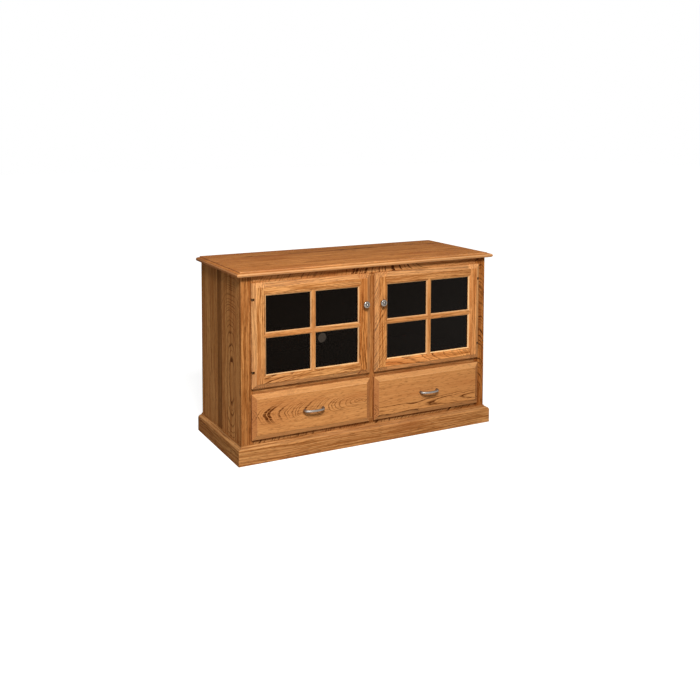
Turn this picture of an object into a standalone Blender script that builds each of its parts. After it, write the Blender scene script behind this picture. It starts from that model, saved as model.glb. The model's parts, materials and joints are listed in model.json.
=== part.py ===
"""Oak media cabinet with glazed double doors over two drawers.

The pieces are modelled one by one, as a joiner would cut them: a panelled case behind a face frame, a
moulded top, a mitred plinth, framed glass doors on pivot hinges and drawers on three-part centre slides.
Units are metres. +Z is up, the cabinet faces -Y and the origin is on the floor under the middle of its box.
"""

from math import cos, pi, radians, sin, sqrt

import bmesh
import bpy
import numpy as np
from mathutils import Vector

# Gap kept between two pieces that touch
FIT = 0.0003

# Case
OVERALL_HEIGHT = 0.7685
CASE_WIDTH = 1.1684
CASE_DEPTH = 0.4594
SIDE_THICKNESS = 0.019
DECK_THICKNESS = 0.016
BOTTOM_THICKNESS = 0.016
DIVIDER_THICKNESS = 0.016
BACK_THICKNESS = 0.006
BACK_RECESS = 0.0027
BACK_RABBET_WIDTH = 0.010
REAR_RAIL_HEIGHT = 0.060
REAR_RAIL_THICKNESS = 0.019

# Moulded top
TOP_THICKNESS = 0.0205
TOP_SIDE_OVERHANG = 0.0254
TOP_FRONT_OVERHANG = 0.028
TOP_EDGE_WIDTH = 0.0180
TOP_EDGE_STEP = 0.0042
TOP_STEP_SLOPE = 0.0005
TOP_LEDGE_WIDTH = 0.0085
TOP_LEDGE_FALL = 0.0005
TOP_NOSE_DROP = 0.0125
TOP_UNDERCUT = 0.009

# Face frame
FRAME_THICKNESS = 0.019
OUTER_STILE_WIDTH = 0.0508
CENTRE_STILE_WIDTH = 0.0440
TOP_RAIL_HEIGHT = 0.0383
MID_RAIL_HEIGHT = 0.0443
BOTTOM_RAIL_HEIGHT = 0.0762
DRAWER_OPENING_HEIGHT = 0.1618

# Plinth boards, with a rounded and hollowed moulding along the upper edge
PLINTH_HEIGHT = 0.0755
PLINTH_THICKNESS = 0.0207
PLINTH_MOULD_HEIGHT = 0.0166
PLINTH_FILLET = 0.0012
PLINTH_ROUND_WIDTH = 0.0110
PLINTH_ROUND_HEIGHT = 0.0090
PLINTH_QUIRK_HEIGHT = 0.0018
PLINTH_LIP = 0.0030
PLINTH_REVEAL = 0.0186

# Doors and drawer fronts
OVERLAY = 0.0112
FRONT_GAP = 0.002
FRONT_THICKNESS = 0.019
BEVEL_WIDTH = 0.0185
BEVEL_DEPTH = 0.0100
BEVEL_SHOULDER = 0.0009

# Door frames, glass and glazing bars
DOOR_STILE_WIDTH = 0.060
DOOR_RAIL_WIDTH = 0.0532
STICKING_WIDTH = 0.010
STICKING_DEPTH = 0.008
STICKING_QUIRK = 0.0008
GROOVE_DEPTH = 0.008
GROOVE_LIP = 0.0017
GROOVE_DRAFT = 0.0002
GLASS_THICKNESS = 0.004
GLASS_EDGE_GAP = 0.0009
BAR_WIDTH = 0.0241
BAR_HEIGHT = 0.0085
BAR_EDGE = 0.0015
BAR_CROWN_WIDTH = 0.0035

# Knobs, with heights measured out from the door
KNOB_RADIUS = 0.0148
KNOB_PROJECTION = 0.0235
KNOB_FOOT_RADIUS = 0.0068
KNOB_FOOT_HEIGHT = 0.0015
KNOB_STEM_RADIUS = 0.0052
KNOB_STEM_START = 0.0038
KNOB_NECK_HEIGHT = 0.0095
KNOB_RIM_HEIGHT = 0.0180
KNOB_EDGE_RADIUS = 0.0030
KNOB_GROOVE_RADIUS = 0.0098
KNOB_GROOVE_SLOPE = 0.0008
KNOB_GROOVE_DEPTH = 0.0016
KNOB_BUTTON_RADIUS = 0.0052
KNOB_BUTTON_FLAT = 0.0008
KNOB_FROM_EDGE = 0.030
KNOB_FROM_TOP = 0.1252

# Pivot hinges
HINGE_INSET = 0.0653
HINGE_SLACK = 0.0006
PIVOT_FROM_EDGE = 0.004
PIVOT_FROM_BACK = 0.008
KNUCKLE_RADIUS = 0.0035
KNUCKLE_HEIGHT = 0.0032
LEAF_THICKNESS = 0.0012
ARM_WIDTH = 0.0018
WING_HEIGHT = 0.038
WING_DEPTH = 0.017
NOTCH_DEPTH = 0.012
DOOR_PLATE_LENGTH = 0.024

# Drawer boxes
DRAWER_SIDE_THICKNESS = 0.012
DRAWER_SIDE_CLEARANCE = 0.0055
DRAWER_FLOOR_CLEARANCE = 0.006
DRAWER_BOX_HEIGHT = 0.140
DRAWER_BACK_DROP = 0.005
DRAWER_REAR_CLEARANCE = 0.055
DRAWER_BOTTOM_THICKNESS = 0.006
DRAWER_GROOVE_DEPTH = 0.006

# Pulls
PULL_SPAN = 0.082
PULL_PROJECTION = 0.028
PULL_RADIUS = 0.0049
PULL_FOOT_RADIUS = 0.0066
PULL_FULLNESS = 0.6
PULL_FOOT_TAPER = 3

# Three-part slides under the drawers
SLIDE_HEIGHT = 0.016
SLIDE_CHANNEL_WIDTH = 0.036
SLIDE_CHANNEL_HEIGHT = 0.0067
SLIDE_WALL = 0.0012
SLIDE_LIP = 0.004
SLIDE_SIDE_CLEARANCE = 0.0005
SLIDE_END_INSET = 0.003

# Cord hole in the back
CORD_HOLE_RADIUS = 0.0254
CORD_HOLE_ABOVE_DECK = 0.0353
GROMMET_WALL = 0.002
GROMMET_FLANGE_WIDTH = 0.005
GROMMET_FLANGE_THICKNESS = 0.0018

# Facets and shading of round shapes
CURVE_STEPS = 5
KNOB_SIDES = 24
KNUCKLE_SIDES = 12
HOLE_SIDES = 32
PULL_STATIONS = 16
PULL_SIDES = 10
SHARP_ANGLE = radians(30)

# Outline points closer than this count as one
POINT_MERGE = 0.00005

# Colour, roughness and metallic value of each finish
OAK = ((0.42, 0.18, 0.055, 1.0), 0.45, 0.0)
OAK_VENEER = ((0.36, 0.17, 0.06, 1.0), 0.5, 0.0)
PLYWOOD = ((0.48, 0.30, 0.15, 1.0), 0.6, 0.0)
SMOKED_GLASS = ((0.012, 0.012, 0.011, 1.0), 0.05, 0.0)
NICKEL = ((0.55, 0.53, 0.50, 1.0), 0.3, 1.0)
BRONZE = ((0.10, 0.06, 0.03, 1.0), 0.45, 1.0)
ZINC = ((0.55, 0.56, 0.57, 1.0), 0.4, 1.0)
BLACK_PLASTIC = ((0.02, 0.02, 0.02, 1.0), 0.5, 0.0)

# Places in depth, from the front of the face frame; the pulls reach furthest forward
FRONT_REACH = FRONT_GAP + FRONT_THICKNESS + FIT + max(PULL_PROJECTION, KNOB_PROJECTION)
FRAME_Y = (max(FRONT_REACH, TOP_FRONT_OVERHANG) - CASE_DEPTH) / 2
BACK_Y = FRAME_Y + CASE_DEPTH
CASE_FRONT_Y = FRAME_Y + FRAME_THICKNESS + FIT
RABBET_Y = BACK_Y - BACK_RECESS - BACK_THICKNESS - FIT
FRONT_BACK_Y = FRAME_Y - FRONT_GAP
FRONT_FACE_Y = FRONT_BACK_Y - FRONT_THICKNESS

# Heights
TOP_UNDERSIDE = OVERALL_HEIGHT - TOP_THICKNESS
CASE_TOP = TOP_UNDERSIDE - FIT
DRAWER_FRONT_BOTTOM = PLINTH_HEIGHT + PLINTH_REVEAL
DRAWER_OPENING_BOTTOM = DRAWER_FRONT_BOTTOM + OVERLAY
DRAWER_OPENING_TOP = DRAWER_OPENING_BOTTOM + DRAWER_OPENING_HEIGHT
DRAWER_FRONT_TOP = DRAWER_OPENING_TOP + OVERLAY
DOOR_OPENING_BOTTOM = DRAWER_OPENING_TOP + MID_RAIL_HEIGHT
DOOR_OPENING_TOP = TOP_UNDERSIDE - TOP_RAIL_HEIGHT
DOOR_BOTTOM = DOOR_OPENING_BOTTOM - OVERLAY
DOOR_TOP = DOOR_OPENING_TOP + OVERLAY
BOTTOM_UNDERSIDE = DRAWER_OPENING_BOTTOM - BOTTOM_THICKNESS
CORD_HOLE_HEIGHT = DOOR_OPENING_BOTTOM + CORD_HOLE_ABOVE_DECK
HINGE_HEIGHTS = {"upper": DOOR_TOP - HINGE_INSET, "lower": DOOR_BOTTOM + HINGE_INSET}

# Widths, on the right-hand half
CASE_OUTER_X = CASE_WIDTH / 2
CASE_INNER_X = CASE_OUTER_X - SIDE_THICKNESS
OPENING_OUTER_X = CASE_OUTER_X - OUTER_STILE_WIDTH
OPENING_INNER_X = CENTRE_STILE_WIDTH / 2
FRONT_OUTER_X = OPENING_OUTER_X + OVERLAY
FRONT_INNER_X = OPENING_INNER_X - OVERLAY
FRONT_WIDTH = FRONT_OUTER_X - FRONT_INNER_X
BAY_X = (FRONT_OUTER_X + FRONT_INNER_X) / 2

# Drawer box
BOX_OUTER_X = OPENING_OUTER_X - DRAWER_SIDE_CLEARANCE
BOX_INNER_X = OPENING_INNER_X + DRAWER_SIDE_CLEARANCE
BOX_FRONT_Y = FRONT_BACK_Y + FIT
BOX_BACK_Y = RABBET_Y - DRAWER_REAR_CLEARANCE
BOX_BOTTOM = DRAWER_OPENING_BOTTOM + DRAWER_FLOOR_CLEARANCE
BOX_TOP = BOX_BOTTOM + DRAWER_BOX_HEIGHT
BOX_FLOOR = DRAWER_OPENING_BOTTOM + SLIDE_HEIGHT

# Glass and its groove, measured forward from the back of the door
GROOVE_FRONT = FRONT_THICKNESS - STICKING_DEPTH - GROOVE_LIP
GLASS_FRONT = GROOVE_FRONT - FIT
GLASS_BACK = GLASS_FRONT - GLASS_THICKNESS
GROOVE_BACK = GLASS_BACK - FIT
BAR_BACK = GROOVE_FRONT + GROOVE_DRAFT + FIT

# Three knuckles of a hinge
HINGE_REACH = 3 * KNUCKLE_HEIGHT / 2 + FIT


def quarter_turn(steps=CURVE_STEPS):
    """Angles from zero to a right angle."""
    return [pi / 2 * step / steps for step in range(steps + 1)]


def full_turn(sides):
    """Angles round a circle."""
    return [2 * pi * side / sides for side in range(sides)]


def skin(rings, closed=False):
    """Body skinned over rings of equal count; its ends are capped, or joined when it closes on itself."""
    shape = bmesh.new()
    rows = [[shape.verts.new(point) for point in ring] for ring in rings]
    pairs = list(zip(rows, rows[1:]))
    if closed:
        pairs.append((rows[-1], rows[0]))
    for row, following in pairs:
        for i in range(len(row)):
            shape.faces.new((row[i - 1], row[i], following[i], following[i - 1]))
    if not closed:
        shape.faces.new(rows[0])
        shape.faces.new(rows[-1])
    bmesh.ops.recalc_face_normals(shape, faces=shape.faces)
    return shape


def box(low, high):
    """Rectangular block between two corners."""
    (x0, y0, z0), (x1, y1, z1) = low, high
    outline = ((x0, y0), (x1, y0), (x1, y1), (x0, y1))
    return skin([[(x, y, z) for x, y in outline] for z in (z0, z1)])


def ring_about_y(centre, radius, y, sides):
    """Circle of points in an upright plane that faces forward."""
    x, z = centre
    return [(x + radius * cos(a), y, z + radius * sin(a)) for a in full_turn(sides)]


def combine(operation, base, tools):
    """Join the tool shapes to the base shape, or cut them out of it."""
    scratch = []
    for shape in (base, *tools):
        mesh = bpy.data.meshes.new("scratch")
        shape.to_mesh(mesh)
        scratch.append(bpy.data.objects.new("scratch", mesh))
        bpy.context.scene.collection.objects.link(scratch[-1])
    for tool in scratch[1:]:
        modifier = scratch[0].modifiers.new(operation, "BOOLEAN")
        modifier.operation = operation
        modifier.object = tool
    result = bmesh.new()
    result.from_object(scratch[0], bpy.context.evaluated_depsgraph_get())
    for item in scratch:
        bpy.data.objects.remove(item)
    return result


def finish_material(name, finish):
    """Material of one piece."""
    colour, roughness, metallic = finish
    material = bpy.data.materials.new(name)
    material.use_nodes = True
    shader = material.node_tree.nodes["Principled BSDF"]
    shader.inputs["Base Color"].default_value = colour
    shader.inputs["Roughness"].default_value = roughness
    shader.inputs["Metallic"].default_value = metallic
    return material


def add_joint(name, location):
    """Empty that carries the pieces of one body, on the axis that the body moves on."""
    joint = bpy.data.objects.new(name, None)
    joint.location = location
    bpy.context.scene.collection.objects.link(joint)
    return joint


def add_piece(name, shape, finish, parent, side=1):
    """Object for one piece, mirrored to the left half where side is -1, with its origin on its parent."""
    bmesh.ops.scale(shape, vec=(side, 1, 1), verts=shape.verts)
    bmesh.ops.translate(shape, vec=-parent.location, verts=shape.verts)
    bmesh.ops.recalc_face_normals(shape, faces=shape.faces)
    mesh = bpy.data.meshes.new(name)
    shape.to_mesh(mesh)
    mesh.shade_smooth()
    mesh.set_sharp_from_angle(angle=SHARP_ANGLE)
    mesh.materials.append(finish_material(name, finish))
    piece = bpy.data.objects.new(name, mesh)
    piece.parent = parent
    bpy.context.scene.collection.objects.link(piece)


# Case pieces


def top_panel():
    """Top board; along the front and both ends it steps down to a ledge with a rounded nose."""
    nose = OVERALL_HEIGHT - TOP_NOSE_DROP
    step = OVERALL_HEIGHT - TOP_EDGE_STEP
    crest = step - TOP_LEDGE_FALL
    ledge_inset = TOP_EDGE_WIDTH - TOP_STEP_SLOPE
    crest_inset = ledge_inset - TOP_LEDGE_WIDTH
    edge = [(nose - (nose - TOP_UNDERSIDE) * cos(a), TOP_UNDERCUT * (1 - sin(a))) for a in quarter_turn()]
    edge += [(nose + (crest - nose) * sin(a), crest_inset * (1 - cos(a))) for a in quarter_turn()[1:]]
    edge += [(step, ledge_inset), (OVERALL_HEIGHT, TOP_EDGE_WIDTH)]
    half = CASE_OUTER_X + TOP_SIDE_OVERHANG
    front = FRAME_Y - TOP_FRONT_OVERHANG
    loops = []
    for z, inset in edge:
        x, y = half - inset, front + inset
        loops.append([(-x, y, z), (x, y, z), (x, BACK_Y, z), (-x, BACK_Y, z)])
    return skin(loops)


def side_panel():
    """Side board, rabbeted along its rear edge for the back."""
    rabbet_x = CASE_INNER_X + BACK_RABBET_WIDTH
    outline = (
        (CASE_INNER_X, CASE_FRONT_Y), (CASE_OUTER_X, CASE_FRONT_Y), (CASE_OUTER_X, BACK_Y),
        (rabbet_x, BACK_Y), (rabbet_x, RABBET_Y), (CASE_INNER_X, RABBET_Y),
    )
    return skin([[(x, y, z) for x, y in outline] for z in (0.0, CASE_TOP)])


def back_panel():
    """Thin back in the rabbets, pierced for cords."""
    x = CASE_INNER_X + BACK_RABBET_WIDTH - FIT
    front = RABBET_Y + FIT
    sheet = box((-x, front, BOTTOM_UNDERSIDE), (x, front + BACK_THICKNESS, CASE_TOP))
    centre = (0.0, CORD_HOLE_HEIGHT)
    ends = (front - BACK_THICKNESS, front + 2 * BACK_THICKNESS)
    hole = skin([ring_about_y(centre, CORD_HOLE_RADIUS, y, HOLE_SIDES) for y in ends])
    return combine("DIFFERENCE", sheet, [hole])


def cord_grommet():
    """Flanged sleeve that lines the cord hole."""
    panel_front = RABBET_Y + FIT
    rear = panel_front + BACK_THICKNESS
    shoulder = panel_front - FIT
    face = shoulder - GROMMET_FLANGE_THICKNESS
    sleeve = CORD_HOLE_RADIUS - FIT
    bore = sleeve - GROMMET_WALL
    flange = CORD_HOLE_RADIUS + GROMMET_FLANGE_WIDTH
    section = (
        (bore, face), (flange, face), (flange, shoulder), (sleeve, shoulder), (sleeve, rear), (bore, rear),
    )
    centre = (0.0, CORD_HOLE_HEIGHT)
    return skin([ring_about_y(centre, radius, y, HOLE_SIDES) for radius, y in section], closed=True)


def shelf(top, thickness):
    """Level panel between the sides, from the face frame to the back."""
    x = CASE_INNER_X - FIT
    return box((-x, CASE_FRONT_Y, top - thickness), (x, RABBET_Y, top))


def drawer_divider():
    """Upright panel between the two drawers."""
    x = DIVIDER_THICKNESS / 2
    low = DRAWER_OPENING_BOTTOM + FIT
    high = DOOR_OPENING_BOTTOM - DECK_THICKNESS - FIT
    return box((-x, CASE_FRONT_Y, low), (x, RABBET_Y, high))


def rear_top_rail():
    """Rail under the top, which the back is nailed to."""
    x = CASE_INNER_X - FIT
    return box((-x, RABBET_Y - REAR_RAIL_THICKNESS, CASE_TOP - REAR_RAIL_HEIGHT), (x, RABBET_Y, CASE_TOP))


def frame_member(x0, x1, z0, z1):
    """Stile or rail of the face frame."""
    return box((x0, FRAME_Y, z0), (x1, FRAME_Y + FRAME_THICKNESS, z1))


def plinth_section():
    """Outline of a plinth board, as distance out from the case and height."""
    shoulder = PLINTH_HEIGHT - PLINTH_MOULD_HEIGHT
    outer = PLINTH_THICKNESS - PLINTH_FILLET
    inner = outer - PLINTH_ROUND_WIDTH
    quirk = shoulder + PLINTH_ROUND_HEIGHT
    hollow = quirk + PLINTH_QUIRK_HEIGHT
    section = [(FIT, 0.0), (PLINTH_THICKNESS, 0.0), (PLINTH_THICKNESS, shoulder)]
    section += [
        (inner + PLINTH_ROUND_WIDTH * cos(a), shoulder + PLINTH_ROUND_HEIGHT * sin(a)) for a in quarter_turn()
    ]
    section += [
        (inner - (inner - PLINTH_LIP) * sin(a), PLINTH_HEIGHT - (PLINTH_HEIGHT - hollow) * cos(a))
        for a in quarter_turn()
    ]
    section.append((FIT, PLINTH_HEIGHT))
    return section


def front_plinth():
    """Front plinth board, mitred at both ends."""
    mitre_gap = FIT * sqrt(2)
    return skin([
        [(side * (CASE_OUTER_X + out - mitre_gap), FRAME_Y - out, z) for out, z in plinth_section()]
        for side in (-1, 1)
    ])


def side_plinth():
    """Side plinth board, mitred at the front and square at the back."""
    front = [(CASE_OUTER_X + out, FRAME_Y - out, z) for out, z in plinth_section()]
    rear = [(x, BACK_Y, z) for x, _, z in front]
    return skin([front, rear])


# Outlines that the doors and drawer fronts share, by distance forward from their back


def bevel(forward):
    """How far the bevelled outer edge stands in."""
    shoulder = FRONT_THICKNESS - BEVEL_SHOULDER
    return np.interp(forward, (FRONT_THICKNESS - BEVEL_DEPTH, shoulder), (0.0, BEVEL_WIDTH))


def sticking(width):
    """Rounded inner edge of a door member, as points of distance forward and width at that distance."""
    foot = FRONT_THICKNESS - STICKING_DEPTH
    crest = FRONT_THICKNESS - STICKING_QUIRK
    narrow = width - STICKING_WIDTH
    round_width = STICKING_WIDTH - STICKING_QUIRK
    curve = [
        (foot + (crest - GROOVE_DRAFT - foot) * sin(a), width - round_width * (1 - cos(a)))
        for a in quarter_turn()
    ]
    return curve + [(crest, narrow), (FRONT_THICKNESS, narrow)]


def grooved_edge(width, slack=0.0):
    """Inner edge with a groove in it; slack makes the groove's outline narrower, which gives a tenon's."""
    deep = width - GROOVE_DEPTH
    back, front = GROOVE_BACK + slack, GROOVE_FRONT - slack
    groove = [
        (back - GROOVE_DRAFT, width), (back, deep), (front, deep), (front + GROOVE_DRAFT, width),
    ]
    return [(0.0, width), *groove, *sticking(width)]


def read_edge(edge, forward):
    """Width of an edge at one distance forward."""
    return np.interp(forward, *zip(*edge))


def levels(*edges):
    """Every distance forward at which one of the edges, or the bevel, changes direction."""
    bends = {0.0, FRONT_THICKNESS - BEVEL_DEPTH, FRONT_THICKNESS - BEVEL_SHOULDER, FRONT_THICKNESS}
    for edge in edges:
        bends.update(forward for forward, _ in edge)
    kept = []
    for forward in sorted(bends):
        if not kept or forward - kept[-1] > POINT_MERGE:
            kept.append(forward)
    return kept


def front_loop(forward, u0, u1, z0, z1):
    """Rectangle on a front, with u measured from the front's outer edge toward the middle of the cabinet."""
    y = FRONT_BACK_Y - forward
    return [(FRONT_OUTER_X - u, y, z) for u, z in ((u0, z0), (u1, z0), (u1, z1), (u0, z1))]


def front_block(u0, u1, back, front, z0, z1):
    """Rectangular block placed on a front, between two distances forward from the front's back."""
    return skin([front_loop(forward, u0, u1, z0, z1) for forward in (back, front)])


# Hinges


def hinge_knuckle(low, high):
    """One knuckle round the pivot."""
    x, y = FRONT_OUTER_X - PIVOT_FROM_EDGE, FRONT_BACK_Y - PIVOT_FROM_BACK
    radius = KNUCKLE_RADIUS
    turns = full_turn(KNUCKLE_SIDES)
    return skin([[(x + radius * cos(a), y + radius * sin(a), z) for a in turns] for z in (low, high)])


def hinge_frame_leaf(height):
    """Middle knuckle on an arm that passes behind the door to a wing on the face stile's inner edge."""
    half = KNUCKLE_HEIGHT / 2
    low, high = height - half, height + half
    seat = FIT - FRONT_GAP
    strap_front = seat + LEAF_THICKNESS
    wing_start = OVERLAY + FIT
    wing_end = wing_start + LEAF_THICKNESS
    arm_start = PIVOT_FROM_EDGE - ARM_WIDTH / 2
    wing = front_block(
        wing_start, wing_end, -FRONT_GAP - WING_DEPTH, strap_front,
        height - WING_HEIGHT / 2, height + WING_HEIGHT / 2,
    )
    strap = front_block(arm_start, (wing_start + wing_end) / 2, seat, strap_front, low, high)
    arm = front_block(arm_start, arm_start + ARM_WIDTH, seat, PIVOT_FROM_BACK, low, high)
    return combine("UNION", wing, [strap, arm, hinge_knuckle(low, high)])


def hinge_door_leaf(height):
    """Outer knuckles, bent round the notch into a plate let into the door's back."""
    gap = KNUCKLE_HEIGHT / 2 + FIT
    wall_end = NOTCH_DEPTH - FIT
    wall_start = wall_end - LEAF_THICKNESS
    plate_end = NOTCH_DEPTH + DOOR_PLATE_LENGTH
    half = WING_HEIGHT / 2
    arm_half = LEAF_THICKNESS / 2
    plate = front_block(wall_start, plate_end, 0.0, LEAF_THICKNESS, height - half, height + half)
    arm_front = PIVOT_FROM_BACK + arm_half
    low, high = height - HINGE_REACH, height + HINGE_REACH
    tools = [front_block(wall_start, wall_end, LEAF_THICKNESS / 2, arm_front, low, high)]
    for start, end in ((low, height - gap), (height + gap, high)):
        tools.append(hinge_knuckle(start, end))
        arm = (PIVOT_FROM_EDGE, wall_start + arm_half, PIVOT_FROM_BACK - arm_half, arm_front, start, end)
        tools.append(front_block(*arm))
    return combine("UNION", plate, tools)


# Door pieces


def door_stile(from_edge):
    """Full-height door member; from_edge turns a distance from its outer edge into u."""
    edge = grooved_edge(DOOR_STILE_WIDTH)
    loops = []
    for forward in levels(edge):
        inset = bevel(forward)
        u0, u1 = from_edge(inset), from_edge(read_edge(edge, forward))
        loops.append(front_loop(forward, u0, u1, DOOR_BOTTOM + inset, DOOR_TOP - inset))
    return skin(loops)


def hinge_stile():
    """Stile on the hinge side, notched and let in for both hinges."""
    through = 2 * FRONT_THICKNESS
    notch = HINGE_REACH + FIT
    half = WING_HEIGHT / 2 + FIT
    plate_start = NOTCH_DEPTH - LEAF_THICKNESS - HINGE_SLACK
    plate_end = NOTCH_DEPTH + DOOR_PLATE_LENGTH + FIT
    plate_front = LEAF_THICKNESS + FIT
    cuts = []
    for height in HINGE_HEIGHTS.values():
        cuts.append(front_block(-NOTCH_DEPTH, NOTCH_DEPTH, -through, through, height - notch, height + notch))
        cuts.append(front_block(plate_start, plate_end, -through, plate_front, height - half, height + half))
    return combine("DIFFERENCE", door_stile(lambda distance: distance), cuts)


def meeting_stile():
    """Stile on the side where the doors meet."""
    return door_stile(lambda distance: FRONT_WIDTH - distance)


def door_rail(from_edge):
    """Door member between the stiles, its tenoned ends shaped over their moulding."""
    edge, tenon = grooved_edge(DOOR_RAIL_WIDTH), grooved_edge(DOOR_STILE_WIDTH, FIT)
    loops = []
    for forward in levels(edge, tenon):
        end = read_edge(tenon, forward) + FIT
        z0, z1 = from_edge(bevel(forward)), from_edge(read_edge(edge, forward))
        loops.append(front_loop(forward, end, FRONT_WIDTH - end, z0, z1))
    return skin(loops)


def door_glass():
    """Smoked pane in the grooves."""
    u = DOOR_STILE_WIDTH - GROOVE_DEPTH + GLASS_EDGE_GAP
    z = DOOR_RAIL_WIDTH - GROOVE_DEPTH + GLASS_EDGE_GAP
    return front_block(u, FRONT_WIDTH - u, GLASS_BACK, GLASS_FRONT, DOOR_BOTTOM + z, DOOR_TOP - z)


def door_grille():
    """Cross of rounded glazing bars over the pane, its ends shaped over the door frame's moulding."""
    stile_edge, rail_edge = sticking(DOOR_STILE_WIDTH), sticking(DOOR_RAIL_WIDTH)
    round_start = BAR_BACK + BAR_EDGE
    drop = (BAR_WIDTH - BAR_CROWN_WIDTH) / 2
    bar = [(BAR_BACK, BAR_WIDTH / 2)] + [
        (round_start + (BAR_HEIGHT - BAR_EDGE) * sin(a), BAR_WIDTH / 2 - drop * (1 - cos(a)))
        for a in quarter_turn()
    ]
    heights = {forward for forward, _ in bar}
    heights.update(forward for forward, _ in stile_edge if BAR_BACK < forward < BAR_BACK + BAR_HEIGHT)
    u_mid, z_mid = FRONT_WIDTH / 2, (DOOR_BOTTOM + DOOR_TOP) / 2
    loops = []
    for forward in sorted(heights):
        half = read_edge(bar, forward)
        u_end = u_mid - read_edge(stile_edge, forward) - FIT
        z_end = (DOOR_TOP - DOOR_BOTTOM) / 2 - read_edge(rail_edge, forward) - FIT
        quarter = (
            (-half, -half), (-half, -z_end), (half, -z_end), (half, -half), (u_end, -half), (u_end, half),
        )
        outline = quarter + tuple((-u, -z) for u, z in quarter)
        y = FRONT_BACK_Y - forward
        loops.append([(FRONT_OUTER_X - u_mid - u, y, z_mid + z) for u, z in outline])
    return skin(loops)


def knob():
    """Turned knob: a foot and stem, a swelling head, and a face with a ring groove and a domed button."""
    swell = KNOB_RADIUS - KNOB_STEM_RADIUS
    rise = KNOB_RIM_HEIGHT - KNOB_NECK_HEIGHT
    face = KNOB_RIM_HEIGHT + KNOB_EDGE_RADIUS
    floor = face - KNOB_GROOVE_DEPTH
    dome = KNOB_PROJECTION - floor
    outline = [
        (KNOB_FOOT_RADIUS, 0.0), (KNOB_FOOT_RADIUS, KNOB_FOOT_HEIGHT), (KNOB_STEM_RADIUS, KNOB_STEM_START),
    ]
    outline += [(KNOB_STEM_RADIUS + swell * sin(a), KNOB_RIM_HEIGHT - rise * cos(a)) for a in quarter_turn()]
    outline += [
        (KNOB_RADIUS - KNOB_EDGE_RADIUS * (1 - cos(a)), KNOB_RIM_HEIGHT + KNOB_EDGE_RADIUS * sin(a))
        for a in quarter_turn()[1:]
    ]
    outline += [(KNOB_GROOVE_RADIUS, face), (KNOB_GROOVE_RADIUS - KNOB_GROOVE_SLOPE, floor)]
    outline += [(KNOB_BUTTON_RADIUS * cos(a), floor + dome * sin(a)) for a in quarter_turn()[:-1]]
    outline.append((KNOB_BUTTON_FLAT, KNOB_PROJECTION))
    centre = (FRONT_INNER_X + KNOB_FROM_EDGE, DOOR_TOP - KNOB_FROM_TOP)
    seat = FRONT_FACE_Y - FIT
    return skin([ring_about_y(centre, radius, seat - out, KNOB_SIDES) for radius, out in outline])


# Drawer pieces


def drawer_front():
    """Bevelled drawer front."""
    loops = []
    for forward in levels():
        inset = bevel(forward)
        z0, z1 = DRAWER_FRONT_BOTTOM + inset, DRAWER_FRONT_TOP - inset
        loops.append(front_loop(forward, inset, FRONT_WIDTH - inset, z0, z1))
    return skin(loops)


def drawer_side(outer, inward):
    """Drawer side, grooved for the bottom; inward is the direction of the drawer's middle."""
    inner = outer + inward * DRAWER_SIDE_THICKNESS
    groove = inner - inward * DRAWER_GROOVE_DEPTH
    low, high = BOX_FLOOR - FIT, BOX_FLOOR + DRAWER_BOTTOM_THICKNESS + FIT
    outline = (
        (outer, BOX_BOTTOM), (inner, BOX_BOTTOM), (inner, low), (groove, low), (groove, high), (inner, high),
        (inner, BOX_TOP), (outer, BOX_TOP),
    )
    return skin([[(x, y, z) for x, z in outline] for y in (BOX_FRONT_Y, BOX_BACK_Y)])


def drawer_back():
    """Drawer back, standing on the bottom between the sides."""
    inset = DRAWER_SIDE_THICKNESS + FIT
    low = (BOX_INNER_X + inset, BOX_BACK_Y - DRAWER_SIDE_THICKNESS, BOX_FLOOR + DRAWER_BOTTOM_THICKNESS + FIT)
    return box(low, (BOX_OUTER_X - inset, BOX_BACK_Y, BOX_TOP - DRAWER_BACK_DROP))


def drawer_bottom():
    """Thin bottom held in the grooves of the sides."""
    inset = DRAWER_SIDE_THICKNESS - DRAWER_GROOVE_DEPTH + FIT
    low = (BOX_INNER_X + inset, BOX_FRONT_Y, BOX_FLOOR)
    return box(low, (BOX_OUTER_X - inset, BOX_BACK_Y, BOX_FLOOR + DRAWER_BOTTOM_THICKNESS))


def pull():
    """Bow pull: an arch that swells toward its two feet."""
    z = (DRAWER_FRONT_BOTTOM + DRAWER_FRONT_TOP) / 2
    seat = FRONT_FACE_Y - FIT
    height = PULL_PROJECTION - PULL_RADIUS
    turns = [pi * i / PULL_STATIONS for i in range(PULL_STATIONS + 1)]
    arch = [(BAY_X - PULL_SPAN / 2 * cos(t), seat - height * abs(sin(t)) ** PULL_FULLNESS) for t in turns]
    path = [Vector((x, y, z)) for x, y in arch]
    path[0].y = path[-1].y = seat
    up = Vector((0, 0, 1))
    rings = []
    for i, centre in enumerate(path):
        along = path[min(i + 1, PULL_STATIONS)] - path[max(i - 1, 0)]
        if i == 0:
            along = Vector((0, -1, 0))
        elif i == PULL_STATIONS:
            along = Vector((0, 1, 0))
        across = along.cross(up).normalized()
        flare = (1 - sin(turns[i])) ** PULL_FOOT_TAPER
        radius = PULL_RADIUS + (PULL_FOOT_RADIUS - PULL_RADIUS) * flare
        rings.append([centre + radius * (cos(a) * across + sin(a) * up) for a in full_turn(PULL_SIDES)])
    return skin(rings)


def slide_rail(section):
    """Slide member of one section, from behind the drawer front to the end of the box."""
    ends = (FRAME_Y + SLIDE_END_INSET, BOX_BACK_Y - SLIDE_END_INSET)
    return skin([[(BAY_X + x, y, z) for x, z in section] for y in ends])


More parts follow.
